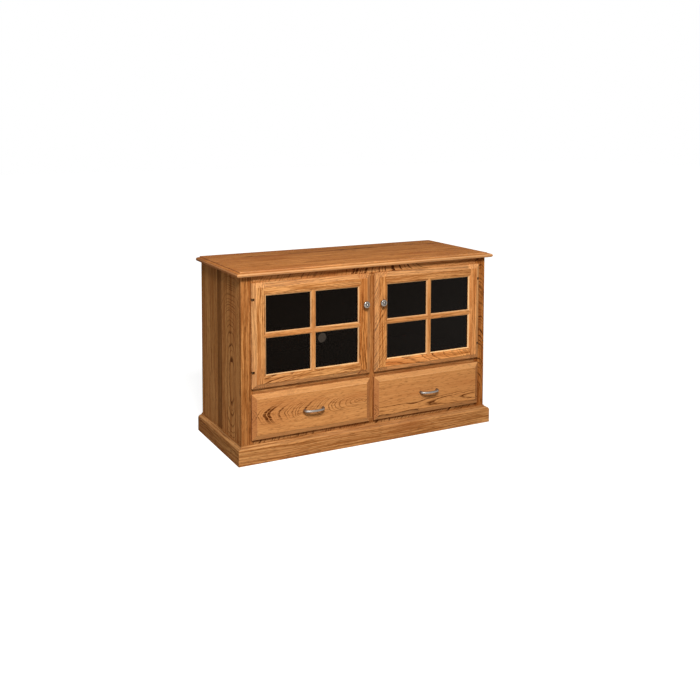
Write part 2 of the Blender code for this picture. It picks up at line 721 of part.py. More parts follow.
def slide_channel(base, upward):
    """Lipped channel that stands on, or hangs from, a base height."""
    half = SLIDE_CHANNEL_WIDTH / 2
    lip = half - SLIDE_LIP
    wall = half - SLIDE_WALL
    under_lip = SLIDE_CHANNEL_HEIGHT - SLIDE_WALL
    right = (
        (half, 0.0), (half, SLIDE_CHANNEL_HEIGHT), (lip, SLIDE_CHANNEL_HEIGHT), (lip, under_lip),
        (wall, under_lip), (wall, SLIDE_WALL),
    )
    outline = right + tuple((-x, z) for x, z in reversed(right))
    return [(x, base + upward * z) for x, z in outline]


def slide_cabinet_rail():
    """Lower channel, fixed to the case."""
    return slide_rail(slide_channel(DRAWER_OPENING_BOTTOM + FIT, 1))


def slide_drawer_rail():
    """Upper channel, fixed under the drawer."""
    return slide_rail(slide_channel(BOX_FLOOR - FIT, -1))


def slide_middle_rail():
    """Flanged rail that runs in both channels."""
    flange = SLIDE_CHANNEL_WIDTH / 2 - SLIDE_WALL - SLIDE_SIDE_CLEARANCE
    web = SLIDE_CHANNEL_WIDTH / 2 - SLIDE_LIP - SLIDE_SIDE_CLEARANCE
    low = DRAWER_OPENING_BOTTOM + FIT + SLIDE_WALL + FIT
    low_shelf = DRAWER_OPENING_BOTTOM + SLIDE_CHANNEL_HEIGHT - SLIDE_WALL
    high = BOX_FLOOR - FIT - SLIDE_WALL - FIT
    high_shelf = BOX_FLOOR - SLIDE_CHANNEL_HEIGHT + SLIDE_WALL
    right = (
        (flange, low), (flange, low_shelf), (web, low_shelf), (web, high_shelf), (flange, high_shelf),
        (flange, high),
    )
    return slide_rail(right + tuple((-x, z) for x, z in reversed(right)))


# Assembly


def add_case(body):
    """The standing carcass with its face frame and plinth."""
    add_piece("top_panel", top_panel(), OAK, body)
    add_piece("back_panel", back_panel(), OAK_VENEER, body)
    add_piece("cord_grommet", cord_grommet(), BLACK_PLASTIC, body)
    add_piece("media_deck", shelf(DOOR_OPENING_BOTTOM, DECK_THICKNESS), OAK_VENEER, body)
    add_piece("bottom_panel", shelf(DRAWER_OPENING_BOTTOM, BOTTOM_THICKNESS), PLYWOOD, body)
    add_piece("drawer_divider", drawer_divider(), PLYWOOD, body)
    add_piece("rear_top_rail", rear_top_rail(), OAK, body)
    x = OPENING_INNER_X
    centre_stile = frame_member(-x, x, DRAWER_OPENING_BOTTOM + FIT, DOOR_OPENING_TOP - FIT)
    add_piece("centre_face_stile", centre_stile, OAK, body)
    x = OPENING_OUTER_X - FIT
    add_piece("top_face_rail", frame_member(-x, x, DOOR_OPENING_TOP, CASE_TOP), OAK, body)
    low = DRAWER_OPENING_BOTTOM - BOTTOM_RAIL_HEIGHT
    add_piece("bottom_face_rail", frame_member(-x, x, low, DRAWER_OPENING_BOTTOM), OAK, body)
    add_piece("front_plinth", front_plinth(), OAK, body)
    for hand, side in (("left", -1), ("right", 1)):
        add_piece(f"{hand}_side_panel", side_panel(), OAK, body, side)
        stile = frame_member(OPENING_OUTER_X, CASE_OUTER_X, 0.0, CASE_TOP)
        add_piece(f"{hand}_face_stile", stile, OAK, body, side)
        rail = frame_member(
            OPENING_INNER_X + FIT, OPENING_OUTER_X - FIT, DRAWER_OPENING_TOP, DOOR_OPENING_BOTTOM
        )
        add_piece(f"{hand}_mid_rail", rail, OAK, body, side)
        add_piece(f"{hand}_plinth", side_plinth(), OAK, body, side)
        for place, height in HINGE_HEIGHTS.items():
            add_piece(f"{hand}_{place}_hinge_frame_leaf", hinge_frame_leaf(height), BRONZE, body, side)
        add_piece(f"{hand}_slide_cabinet_rail", slide_cabinet_rail(), ZINC, body, side)


def add_door(hand, side):
    """One glazed door, hung on its pivot axis."""
    pivot = (side * (FRONT_OUTER_X - PIVOT_FROM_EDGE), FRONT_BACK_Y - PIVOT_FROM_BACK, DOOR_BOTTOM)
    body = add_joint(f"{hand}_door_pivot", pivot)
    add_piece(f"{hand}_door_hinge_stile", hinge_stile(), OAK, body, side)
    add_piece(f"{hand}_door_meeting_stile", meeting_stile(), OAK, body, side)
    add_piece(f"{hand}_door_bottom_rail", door_rail(lambda distance: DOOR_BOTTOM + distance), OAK, body, side)
    add_piece(f"{hand}_door_top_rail", door_rail(lambda distance: DOOR_TOP - distance), OAK, body, side)
    add_piece(f"{hand}_door_glass", door_glass(), SMOKED_GLASS, body, side)
    add_piece(f"{hand}_door_grille", door_grille(), OAK, body, side)
    add_piece(f"{hand}_door_knob", knob(), NICKEL, body, side)
    for place, height in HINGE_HEIGHTS.items():
        add_piece(f"{hand}_{place}_hinge_door_leaf", hinge_door_leaf(height), BRONZE, body, side)


def add_drawer(hand, side):
    """One drawer on its slide."""
    runner = (side * BAY_X, FRONT_BACK_Y, DRAWER_OPENING_BOTTOM)
    body = add_joint(f"{hand}_drawer_runner", runner)
    add_piece(f"{hand}_drawer_front", drawer_front(), OAK, body, side)
    add_piece(f"{hand}_drawer_outer_side", drawer_side(BOX_OUTER_X, -1), PLYWOOD, body, side)
    add_piece(f"{hand}_drawer_inner_side", drawer_side(BOX_INNER_X, 1), PLYWOOD, body, side)
    add_piece(f"{hand}_drawer_back", drawer_back(), PLYWOOD, body, side)
    add_piece(f"{hand}_drawer_bottom", drawer_bottom(), PLYWOOD, body, side)
    add_piece(f"{hand}_drawer_pull", pull(), NICKEL, body, side)
    add_piece(f"{hand}_slide_drawer_rail", slide_drawer_rail(), ZINC, body, side)
    middle = add_joint(f"{hand}_slide_middle_runner", runner)
    add_piece(f"{hand}_slide_middle_rail", slide_middle_rail(), ZINC, middle, side)


def main():
    """Clear the scene and build the cabinet."""
    for old in list(bpy.data.objects):
        bpy.data.objects.remove(old)
    add_case(add_joint("case", (0, 0, 0)))
    for hand, side in (("left", -1), ("right", 1)):
        add_door(hand, side)
        add_drawer(hand, side)


if __name__ == "__main__":
    main()
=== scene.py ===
"""Oak media cabinet: the finishes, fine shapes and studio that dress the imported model.

Lengths are metres, except where a name says millimetres. The cabinet faces -Y and stands on the floor.
"""

import json
from functools import partial
from math import cos, pi, radians, sin, tan
from random import Random
from typing import NamedTuple

import bmesh
import bpy
from mathutils import Euler, Matrix, Vector

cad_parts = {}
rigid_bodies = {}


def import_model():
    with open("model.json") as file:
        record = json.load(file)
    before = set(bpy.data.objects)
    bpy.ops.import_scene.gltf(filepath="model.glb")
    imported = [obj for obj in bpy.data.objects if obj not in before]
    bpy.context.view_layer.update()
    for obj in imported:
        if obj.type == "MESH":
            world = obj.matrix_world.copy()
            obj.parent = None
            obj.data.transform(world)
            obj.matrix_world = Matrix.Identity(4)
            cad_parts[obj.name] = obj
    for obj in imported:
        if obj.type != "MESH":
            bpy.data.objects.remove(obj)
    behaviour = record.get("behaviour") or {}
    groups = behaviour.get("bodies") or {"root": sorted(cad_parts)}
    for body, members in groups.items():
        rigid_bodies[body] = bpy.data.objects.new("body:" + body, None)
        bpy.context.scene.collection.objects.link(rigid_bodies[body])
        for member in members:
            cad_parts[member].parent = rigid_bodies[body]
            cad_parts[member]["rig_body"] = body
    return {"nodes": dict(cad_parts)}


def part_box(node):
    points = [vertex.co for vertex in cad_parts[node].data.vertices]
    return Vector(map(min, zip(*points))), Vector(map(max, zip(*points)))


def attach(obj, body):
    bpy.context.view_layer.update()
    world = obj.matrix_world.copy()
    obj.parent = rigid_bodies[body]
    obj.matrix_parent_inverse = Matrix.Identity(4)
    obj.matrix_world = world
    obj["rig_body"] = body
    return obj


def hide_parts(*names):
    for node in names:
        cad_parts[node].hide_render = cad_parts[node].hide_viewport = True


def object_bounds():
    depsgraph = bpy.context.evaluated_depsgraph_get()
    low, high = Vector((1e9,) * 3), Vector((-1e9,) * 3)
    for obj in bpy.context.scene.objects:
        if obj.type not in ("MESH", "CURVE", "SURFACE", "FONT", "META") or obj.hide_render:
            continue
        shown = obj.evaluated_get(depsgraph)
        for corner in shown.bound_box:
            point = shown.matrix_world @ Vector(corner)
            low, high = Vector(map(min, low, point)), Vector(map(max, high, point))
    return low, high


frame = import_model()

bl_info = {
    "name": "Oak Media Cabinet",
    "version": (1, 0, 0),
    "blender": (4, 5, 0),
    "location": "View3D > Sidebar > Cabinet",
    "description": "Dresses the packed oak media cabinet and sets up its studio",
    "category": "Object",
}

CAD_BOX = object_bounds()
HANDS = ("left", "right")
MILLIMETRE = 0.001
WHITE = (1.0, 1.0, 1.0, 1.0)

# Axes and directions of the room
X, Z = 0, 2
FORWARD, BACKWARD, UPWARD = Vector((0, -1, 0)), Vector((0, 1, 0)), Vector((0, 0, 1))

# Sockets of the colour Mix node
FACTOR, FIRST, SECOND, BLENDED = 0, 6, 7, 2

# Nodes of the case by how they are dressed
FACE_FRAME = (
    "left_face_stile", "right_face_stile", "centre_face_stile", "top_face_rail", "left_mid_rail",
    "right_mid_rail", "bottom_face_rail",
)
PLINTH = ("front_plinth", "left_plinth", "right_plinth")
DOOR_FRAME = ("hinge_stile", "meeting_stile", "top_rail", "bottom_rail")
DRAWER_BOX = ("outer_side", "inner_side", "back", "bottom")
SLIDE_RAILS = ("cabinet", "middle", "drawer")
TOP_BOARDS = 4

# Distances and angles that clean up a copied mesh
MERGE_DISTANCE = 1e-6
FLAT_ANGLE = radians(0.5)
SMOOTH_ANGLE = radians(18)

# Facets of the turned and swept metal
ROUND_SIDES = 48
HEAD_SIDES = 24
ARC_STEPS = 8
PULL_STATIONS = 56

# Powers that shape a pull's arch, and shares of a screw head's radius, rise and recess
PULL_FULLNESS, PULL_FOOT_TAPER = 0.6, 3
HEAD_FLAT, RECESS_ARM, RECESS_FLOOR, RECESS_WIDTH = 0.6, 0.5, 0.3, 1 / 3

# Lengths of the wood's patterns in millimetres; each three are along, across and through a board
TRUNK_DRIFT, TRUNK_SWAY = (420, 80, 80), 9.0
WARM_PATCH = (380, 90, 90)
BIRCH_FIGURE = (160, 18, 40)
PLY, FACE_PLY = 1.5, 0.6

# Share of a year's growth that is early wood, and length of a streak for its width
EARLY_WOOD = 0.4
STREAK_STRETCH = 40


def to_linear(hex_code):
    """Linear colour of an sRGB hex code."""
    parts = [int(hex_code[i:i + 2], 16) / 255 for i in (1, 3, 5)]
    return tuple(c / 12.92 if c <= 0.04045 else ((c + 0.055) / 1.055) ** 2.4 for c in parts)


def colour_property(hex_code, name, description):
    """Colour that a user can change, given as sRGB."""
    return bpy.props.FloatVectorProperty(
        name=name, description=description, subtype="COLOR", min=0.0, max=1.0, default=to_linear(hex_code)
    )


def length_property(millimetres, name, description):
    """Length that a user can change, given in millimetres and kept in metres."""
    return bpy.props.FloatProperty(
        name=name, description=description, unit="LENGTH", min=0.0, precision=5,
        default=millimetres * MILLIMETRE,
    )


class CABINET_PG_colours(bpy.types.PropertyGroup):
    """Colours of the finishes."""

    oak_light: colour_property("#DC9C5E", "Light oak", "Late wood between the pores under honey stain")
    oak_middle: colour_property("#AA6B36", "Middle oak", "Streaks that took more of the stain")
    oak_dark: colour_property("#5E3010", "Dark oak", "Open early wood, where the stain gathers")
    oak_red: colour_property("#B06A38", "Red oak", "Warmer patches of the boards")
    # Painted highlight: pale oak laid on bevels and roundings in place of the lacquer's sheen
    pale_oak_highlight: colour_property("#EBC08C", "Pale oak", "Wood that shows where edges were sanded thin")
    birch: colour_property("#D9B98A", "Birch", "Face ply of the drawer boxes")
    birch_core: colour_property("#A77B4B", "Birch core", "Cross plies that show at the edges")
    smoke: colour_property("#3A332C", "Smoked glass", "Tint of the panes")
    reflection: colour_property("#55483C", "Pane reflection", "Tint of what the panes mirror")
    nickel: colour_property("#8E8780", "Nickel", "Plated knobs and pulls")
    bronze: colour_property("#5C442C", "Bronze", "Oiled hinges, their screws and the nails")
    zinc: colour_property("#B9BBBD", "Zinc", "Plated slides and screws")
    plastic: colour_property("#2A2825", "Grommet", "Moulded lining of the cord hole")
    floor: colour_property("#BDBCBA", "Floor", "Studio floor")


class CABINET_PG_sizes(bpy.types.PropertyGroup):
    """Sizes of the grain and of the fine shapes."""

    ring_spacing: length_property(6.0, "Ring spacing", "Growth of the oak in one year, drawn broad")
    pore_length: length_property(24, "Pore length", "Length of a dark stroke along the grain")
    pore_width: length_property(3.2, "Pore width", "Width of a dark stroke")
    streak_width: length_property(4.5, "Streak width", "Width of the stain's streaks")
    easing: length_property(0.7, "Eased arris", "Rounding of the outer edges")
    top_easing: length_property(2.2, "Top arris", "Rounding along the steps of the top's moulded edge")
    joint_easing: length_property(0.25, "Joint arris", "Rounding of edges that meet flush")
    side_joint: length_property(214, "Side joint", "Where the side's front boards end, back from the frame")
    side_strip: length_property(50, "Side strip", "Width of the dark board in the middle of a side")
    knob_foot: length_property(6.8, "Knob foot", "Radius of the foot against the door")
    knob_foot_height: length_property(1.5, "Knob foot height", "Thickness of the foot")
    knob_stem: length_property(5.2, "Knob stem", "Radius of the stem")
    knob_stem_start: length_property(3.8, "Knob stem start", "Height at which the foot has run into the stem")
    knob_neck: length_property(9.5, "Knob neck", "Height at which the head begins")
    knob_rim: length_property(16.0, "Knob rim", "Height of the widest part")
    knob_edge: length_property(5.0, "Knob edge", "Rounding between the rim and the face")
    knob_groove: length_property(8.4, "Knob groove", "Outer radius of the ring groove")
    knob_groove_depth: length_property(3.2, "Knob groove depth", "Depth of the ring groove")
    knob_button: length_property(5.6, "Knob button", "Radius of the domed button")
    pull_radius: length_property(4.9, "Pull", "Radius of the bow at its middle")
    pull_foot: length_property(6.6, "Pull foot", "Radius of the bow at its feet")
    hinge_screw: length_property(2.9, "Hinge screw", "Radius of a hinge screw's head")
    hinge_screw_rise: length_property(0.7, "Hinge screw height", "Height of a hinge screw's head")
    hinge_screw_spacing: length_property(22, "Hinge screw spacing", "Distance between a leaf's two screws")
    hinge_screw_inset: length_property(7, "Hinge screw inset", "Distance of a screw from the leaf's end")
    pull_screw: length_property(4.5, "Pull screw", "Radius of the screw heads inside a drawer front")
    pull_screw_rise: length_property(2.0, "Pull screw height", "Height of those heads")
    nail: length_property(2.0, "Nail", "Radius of a nail's head in the back")
    nail_rise: length_property(0.5, "Nail height", "Height of a nail's head")
    nail_spacing: length_property(150, "Nail spacing", "Distance between nails in the back")
    nail_inset: length_property(5, "Nail inset", "Distance of the nails from the edge of the back")


class CABINET_PG_stage(bpy.types.PropertyGroup):
    """Camera and light of the studio."""

    camera_place: bpy.props.FloatVectorProperty(
        name="Camera", description="Where the camera stands", subtype="XYZ", unit="LENGTH",
        default=(-1.863, -3.4197, 1.3517),
    )
    camera_yaw: bpy.props.FloatProperty(
        name="Camera yaw", description="Turn of the view toward the right end", subtype="ANGLE",
        default=radians(26.5),
    )
    camera_pitch: bpy.props.FloatProperty(
        name="Camera pitch", description="Tilt of the view below the horizon", subtype="ANGLE",
        default=radians(4),
    )
    lens: bpy.props.FloatProperty(
        name="Lens", description="Focal length on a 36 mm sensor, in millimetres", default=46.11,
    )
    shift: bpy.props.FloatVectorProperty(
        name="Lens shift", description="Sideways and upward shift as a share of the picture", size=2,
        default=(0.0496, -0.2374),
    )
    key_place: bpy.props.FloatVectorProperty(
        name="Key lamp", description="Where the large lamp in front hangs", subtype="XYZ", unit="LENGTH",
        default=(-1.35, -3.2, 3.4),
    )
    key_size: bpy.props.FloatVectorProperty(
        name="Key lamp size", description="Width and height of the large lamp", unit="LENGTH", size=2,
        default=(1.4, 1.0),
    )
    key_power: bpy.props.FloatProperty(
        name="Key lamp power", description="Power of the large lamp", unit="POWER", default=235.0,
    )
    ambient: bpy.props.FloatProperty(
        name="Ambient", description="Light that the white room gives to matt surfaces", min=0.0, default=0.16,
    )


class Figure(NamedTuple):
    """How a board lay in its log, in millimetres, and how it took the stain.

    across and depth place the heart of the log beside and below the middle of the face. rise is the slope of
    the heart toward the board's far end, bow how that slope eases off and sweep how the heart drifts across.
    spread widens the rings and streaks, band is how far the strong figure reaches to each side of the heart,
    fade is the share of its contrast that is left beyond that. tone lightens or darkens the board, stain
    deepens its colour, contrast strengthens its rings, thirst is how much darker the end grain turned,
    wear_and_highlight is how strongly bevels and roundings are painted paler, a painted highlight in place of
    the lacquer's sheen, and seed sets its pores apart from others.
    """

    across: float
    depth: float
    rise: float
    bow: float = 0.0
    sweep: float = 0.0
    tone: float = 1.0
    stain: float = 1.0
    contrast: float = 1.0
    spread: float = 1.0
    band: float = 60.0
    fade: float = 0.55
    thirst: float = 0.15
    wear_and_highlight: float = 0.6
    seed: float = 0.0


# Doors carry a stronger painted highlight on their bevels than the frame, and the top drank more of the stain
DoorFigure = partial(Figure, wear_and_highlight=0.9)
TopFigure = partial(Figure, stain=1.15, thirst=0.45, wear_and_highlight=0.42)

# Boards whose figure shows in the picture; the others are drawn from a like range
FIGURES = {
    "left_drawer_front": Figure(
        6, 45, 0.26, tone=1.01, contrast=1.55, spread=0.75, band=45, fade=0.15, thirst=0.5, seed=3.1,
    ),
    "right_drawer_front": Figure(-52, 40, 0.02, contrast=1.9, band=48, fade=0.1, thirst=0.5, seed=5.4),
    "left_side_panel.front": Figure(-10, 16, -0.14, 0.0012, tone=0.87, contrast=1.5, spread=1.8, seed=7.7),
    "left_side_panel.strip": Figure(60, 40, 0.01, tone=0.47, stain=1.1, spread=2.5, seed=1.9),
    "left_side_panel.rear": Figure(150, 60, 0.02, tone=0.8, spread=2.5, seed=9.2),
    # The left and centre face stiles are drawn darker than the doors: painted shade in the recess beside and
    # between the doors
    "left_face_stile": Figure(70, 30, 0.01, tone=0.77, stain=1.12, contrast=1.5, seed=12.4),
    "right_face_stile": Figure(12, 70, -0.28, tone=0.76, stain=1.3, contrast=1.5, seed=15.2),
    "centre_face_stile": Figure(40, 40, 0.01, tone=0.8, stain=1.1, contrast=1.2, seed=16.1),
    "left_door_hinge_stile": DoorFigure(60, 24, 0.01, contrast=2, seed=21.7),
    "left_door_meeting_stile": DoorFigure(-34, 50, 0.03, tone=0.98, stain=1.2, contrast=1.8, seed=22.9),
    "left_door_top_rail": DoorFigure(-48, 30, 0.03, tone=1.01, contrast=2.2, seed=24.3),
    "left_door_bottom_rail": DoorFigure(-40, 44, 0.12, contrast=2, seed=25.8),
    "right_door_meeting_stile": DoorFigure(40, 80, 0.34, tone=0.99, stain=1.1, contrast=1.8, seed=2.3),
    "right_door_hinge_stile": DoorFigure(80, 30, 0.01, tone=1.28, contrast=2, seed=27.6),
    "right_door_top_rail": DoorFigure(-60, 34, -0.02, tone=0.93, contrast=1.8, seed=28.1),
    "right_door_bottom_rail": DoorFigure(
        -50, 110, -0.2, 0.0003, tone=1.32, stain=1.07, contrast=1.5, spread=1.3, fade=0.8, seed=8.8,
    ),
    "top_face_rail": Figure(-20, 195, 0.45, sweep=0.3, tone=0.97, contrast=3, spread=1.7, fade=0.3, seed=6.5),
    # The rails under the doors and drawers are drawn darker: painted shade under the doors and drawers
    "bottom_face_rail": Figure(-35, 300, 0.45, tone=0.72, contrast=2.5, spread=1.5, seed=4.2),
    "left_mid_rail": Figure(60, 40, 0.05, tone=0.72, contrast=1.4, seed=17.3),
    "right_mid_rail": Figure(-60, 40, 0.05, tone=0.72, contrast=1.4, seed=18.6),
    "front_plinth": Figure(90, 30, 0.008, tone=0.83, contrast=1.8, spread=1.3, wear_and_highlight=0.15, seed=33.1),
    "left_plinth": Figure(80, 30, 0.01, tone=0.68, contrast=1.6, spread=1.3, wear_and_highlight=0.15, seed=32.6),
    # The top's boards are drawn darker toward the back: painted shade where less of the lamp's light reaches
    "top_panel.board_1": TopFigure(60, 50, 0.01, tone=1.01, seed=41.1),
    "top_panel.board_2": TopFigure(-70, 60, 0.01, tone=0.98, seed=42.2),
    "top_panel.board_3": TopFigure(80, 60, -0.01, tone=0.95, seed=43.3),
    "top_panel.board_4": TopFigure(-50, 70, 0.01, tone=0.88, seed=44.4),
}


def set_inputs(node, links):
    """Give each input of a shader node its value, or join it to a socket."""
    for key, value in links.items():
        if isinstance(value, bpy.types.NodeSocket):
            node.id_data.links.new(value, node.inputs[key])
        else:
            node.inputs[key].default_value = value


def add_node(tree, kind, links=(), output=0, **settings):
    """Add one shader node with its links and settings; gives one of its outputs, or all of them for None."""
    node = tree.nodes.new("ShaderNode" + kind)
    for name, value in settings.items():
        setattr(node, name, value)
    set_inputs(node, dict(links))
    return node.outputs if output is None else node.outputs[output]


def new_material(name, values):
    """Material with its tree and its Principled shader, whose sockets take the values."""
    material = bpy.data.materials.new(name)
    material.use_nodes = True
    shader = material.node_tree.nodes["Principled BSDF"]
    set_inputs(shader, values)
    return material, material.node_tree, shader


def opaque(colour, factor=1.0, stain=1.0):
    """Colour with its alpha, lightened or darkened by a factor and deepened by so many coats of stain."""
    return (*(min(factor * c ** stain, 1.0) for c in colour), 1.0)


def board_axes(low, high, along=None):
    """Axes along, across and through a board, longest first unless the grain's axis is given."""
    size = high - low
    order = sorted(range(3), key=lambda axis: -size[axis])
    if along is not None:
        order.remove(along)
        order.insert(0, along)
    return order


def on_board(tree, low, high, along=None):
    """Place on a board in millimetres along, across and out of its face, and the way its surface faces."""
    order = board_axes(low, high, along)
    centre = (low + high) / 2
    grain, out = Vector(), Vector()
    grain[order[0]] = 1.0
    outward = (1.0 if centre.x >= 0 else -1.0, -1.0, 1.0)
    out[order[2]] = outward[order[2]]
    turn = Matrix((grain, out.cross(grain), out)).transposed().to_euler()
    surface = add_node(tree, "TexCoord", output=None)
    place = add_node(tree, "Mapping", {
        "Vector": surface["Object"], "Location": centre, "Rotation": turn, "Scale": (MILLIMETRE,) * 3,
    }, vector_type="TEXTURE")
    return place, surface["Normal"]


def fibres(tree, place, lengths, seed, detail, output=0, **settings):
    """Noise drawn out along a board; lengths give its reach along, across and through, in millimetres."""
    stretched = add_node(tree, "Mapping", {"Vector": place, "Scale": [1 / length for length in lengths]})
    return add_node(tree, "TexNoise", {
        "Vector": stretched, "W": seed, "Scale": 1.0, "Detail": detail,
    }, output, noise_dimensions="4D", **settings)


def oak(name, low, high, figure, along=None):
    """Red oak, plain sawn, stained honey and sprayed with dead flat lacquer.

    Cut rings give flames and stripes, open pores give short dark strokes, end grain drinks more of the stain
    and the lacquer leaves a faint sheen where it is seen at a low angle.
    """
    tints, sizes = bpy.context.scene.cabinet_colours, bpy.context.scene.cabinet_sizes
    material, tree, shader = new_material(f"lacquered_red_oak_{name}", {
        "Roughness": 0.45, "Specular IOR Level": 0.001,
    })
    place, normal = on_board(tree, low, high, along)

    # The trunk wanders by a few millimetres along its length
    drift = fibres(tree, place, TRUNK_DRIFT, figure.seed, 3.0, "Color", normalize=False)
    wander = add_node(tree, "VectorMath", {
        0: drift, 1: (0.0, TRUNK_SWAY, TRUNK_SWAY), 2: place,
    }, operation="MULTIPLY_ADD")

    # Growth rings round the heart of the log, which slopes through the board
    part = add_node(tree, "SeparateXYZ", {0: wander}, None)
    heart = add_node(tree, "Math", {
        0: part["X"], 1: figure.sweep, 2: figure.across,
    }, operation="MULTIPLY_ADD")
    beside = add_node(tree, "Math", {0: part["Y"], 1: heart}, operation="SUBTRACT")
    slope = add_node(tree, "Math", {0: part["X"], 1: figure.bow, 2: -figure.rise}, operation="MULTIPLY_ADD")
    sink = add_node(tree, "Math", {0: part["X"], 1: slope, 2: figure.depth}, operation="MULTIPLY_ADD")
    below = add_node(tree, "Math", {0: part["Z"], 1: sink}, operation="ADD")
    radius = add_node(tree, "VectorMath", {
        0: add_node(tree, "CombineXYZ", {"Y": beside, "Z": below}),
    }, "Value", operation="LENGTH")

    # Wet and dry years leave rings of uneven width and strength
    spacing = figure.spread * sizes.ring_spacing / MILLIMETRE
    weather = add_node(tree, "TexNoise", {
        "W": radius, "Scale": 1 / (3 * spacing), "Detail": 1.0,
    }, noise_dimensions="1D", normalize=False)
    age = add_node(tree, "Math", {0: weather, 1: 1.2 * spacing, 2: radius}, operation="MULTIPLY_ADD")
    season = add_node(tree, "Math", {0: age, 1: spacing}, operation="FLOORED_MODULO")
    early = add_node(tree, "MapRange", {
        "Value": season, "From Max": EARLY_WOOD * spacing, "To Min": 1.0, "To Max": 0.0,
    }, interpolation_type="SMOOTHSTEP")
    year = add_node(tree, "Math", {0: age, 1: spacing}, operation="SNAP")
    vigour = add_node(tree, "MapRange", {
        "Value": add_node(tree, "TexWhiteNoise", {"W": year}, noise_dimensions="1D"),
        "To Min": 0.35, "To Max": 1.2,
    })
    ring_wood = add_node(tree, "Math", {0: early, 1: vigour}, operation="MULTIPLY")

    # Pores are drawn about eight times as wide as they are, so that they show from across a room
    length, width = sizes.pore_length / MILLIMETRE, sizes.pore_width / MILLIMETRE
    grain = fibres(tree, wander, (length, width, width), figure.seed, 2.0)
    pores = add_node(tree, "MapRange", {
        "Value": grain, "From Min": 0.38, "From Max": 0.6, "To Min": 0.3, "To Max": 1.0,
    })
    flat_sawn = add_node(tree, "MapRange", {
        "Value": add_node(tree, "Math", {0: beside}, operation="ABSOLUTE"),
        "From Min": 8.0, "From Max": figure.band,
        "To Min": figure.contrast, "To Max": figure.fade * figure.contrast,
    }, interpolation_type="SMOOTHSTEP")
    stroke = add_node(tree, "Math", {0: ring_wood, 1: pores}, operation="MULTIPLY")
    flame = add_node(tree, "Math", {0: stroke, 1: flat_sawn}, operation="MULTIPLY", use_clamp=True)
    dashes = add_node(tree, "MapRange", {
        "Value": grain, "From Min": 0.55, "From Max": 0.66, "To Max": 0.45,
    })
    dark = add_node(tree, "Math", {0: flame, 1: dashes}, operation="MAXIMUM")

    # Streaks of stain along the grain, and warmer patches as broad as a hand
    streak_width = figure.spread * sizes.streak_width / MILLIMETRE
    streak = fibres(
        tree, wander, (STREAK_STRETCH * streak_width, streak_width, streak_width), figure.seed, 3.0,
    )
    patch = fibres(tree, place, WARM_PATCH, figure.seed, 1.0)
    light, middle, red, dull = (
        opaque(tint, figure.tone, figure.stain)
        for tint in (tints.oak_light, tints.oak_middle, tints.oak_red, tints.oak_dark)
    )
    softness = 0.08 / (figure.contrast * figure.fade)
    streaked = add_node(tree, "Mix", {
        FACTOR: add_node(tree, "MapRange", {
            "Value": streak, "From Min": 0.5 - softness, "From Max": 0.5 + softness,
        }),
        FIRST: light, SECOND: middle,
    }, BLENDED, data_type="RGBA")
    warmed = add_node(tree, "Mix", {
        FACTOR: add_node(tree, "MapRange", {
            "Value": patch, "From Min": 0.45, "From Max": 0.75, "To Max": 0.6,
        }),
        FIRST: streaked, SECOND: red,
    }, BLENDED, data_type="RGBA")
    stained = add_node(tree, "Mix", {FACTOR: dark, FIRST: warmed, SECOND: dull}, BLENDED, data_type="RGBA")

    # Painted highlight: bevels and roundings, which lie between the face and the edge, are drawn in paler
    # wood in place of the lacquer's sheen
    facing = add_node(tree, "SeparateXYZ", {0: normal}, None)
    endwise, facewise = (
        add_node(tree, "Math", {0: facing[axis]}, operation="ABSOLUTE")
        for axis in board_axes(low, high, along)[::2]
    )
    edgewise = add_node(tree, "Math", {0: 1.0, 1: facewise}, operation="SUBTRACT")
    rounding = add_node(tree, "Math", {0: facewise, 1: edgewise}, operation="MULTIPLY")
    painted_highlight = add_node(tree, "Mix", {
        FACTOR: add_node(tree, "MapRange", {
            "Value": rounding, "From Min": 0.06, "From Max": 0.25, "To Max": figure.wear_and_highlight,
        }),
        FIRST: stained, SECOND: opaque(tints.pale_oak_highlight, figure.tone),
    }, BLENDED, data_type="RGBA")

    # Faces that cut across the grain are darker, and open pores dip below the lacquer's surface
    drunk = add_node(tree, "MapRange", {
        "Value": endwise, "From Min": 0.15, "From Max": 0.5, "To Max": figure.thirst,
    })
    coloured = add_node(tree, "Mix", {
        FACTOR: drunk, FIRST: painted_highlight, SECOND: opaque(tints.oak_middle),
    }, BLENDED, data_type="RGBA", blend_type="MULTIPLY")
    dip = add_node(tree, "Bump", {"Strength": 0.3, "Distance": 0.0003, "Height": dark}, invert=True)
    set_inputs(shader, {"Base Color": coloured, "Normal": dip})
    return material


def figure_of(name):
    """Figure of a named board; one that isn't listed comes from a draw seeded with its name."""
    if name in FIGURES:
        return FIGURES[name]
    draw = Random(name)
    return Figure(
        across=draw.uniform(-60, 60), depth=draw.uniform(30, 110),
        rise=draw.choice((-1, 1)) * draw.uniform(0.02, 0.08), tone=draw.uniform(0.95, 1.04),
        contrast=draw.uniform(0.7, 1.0), seed=draw.uniform(0, 50),
    )


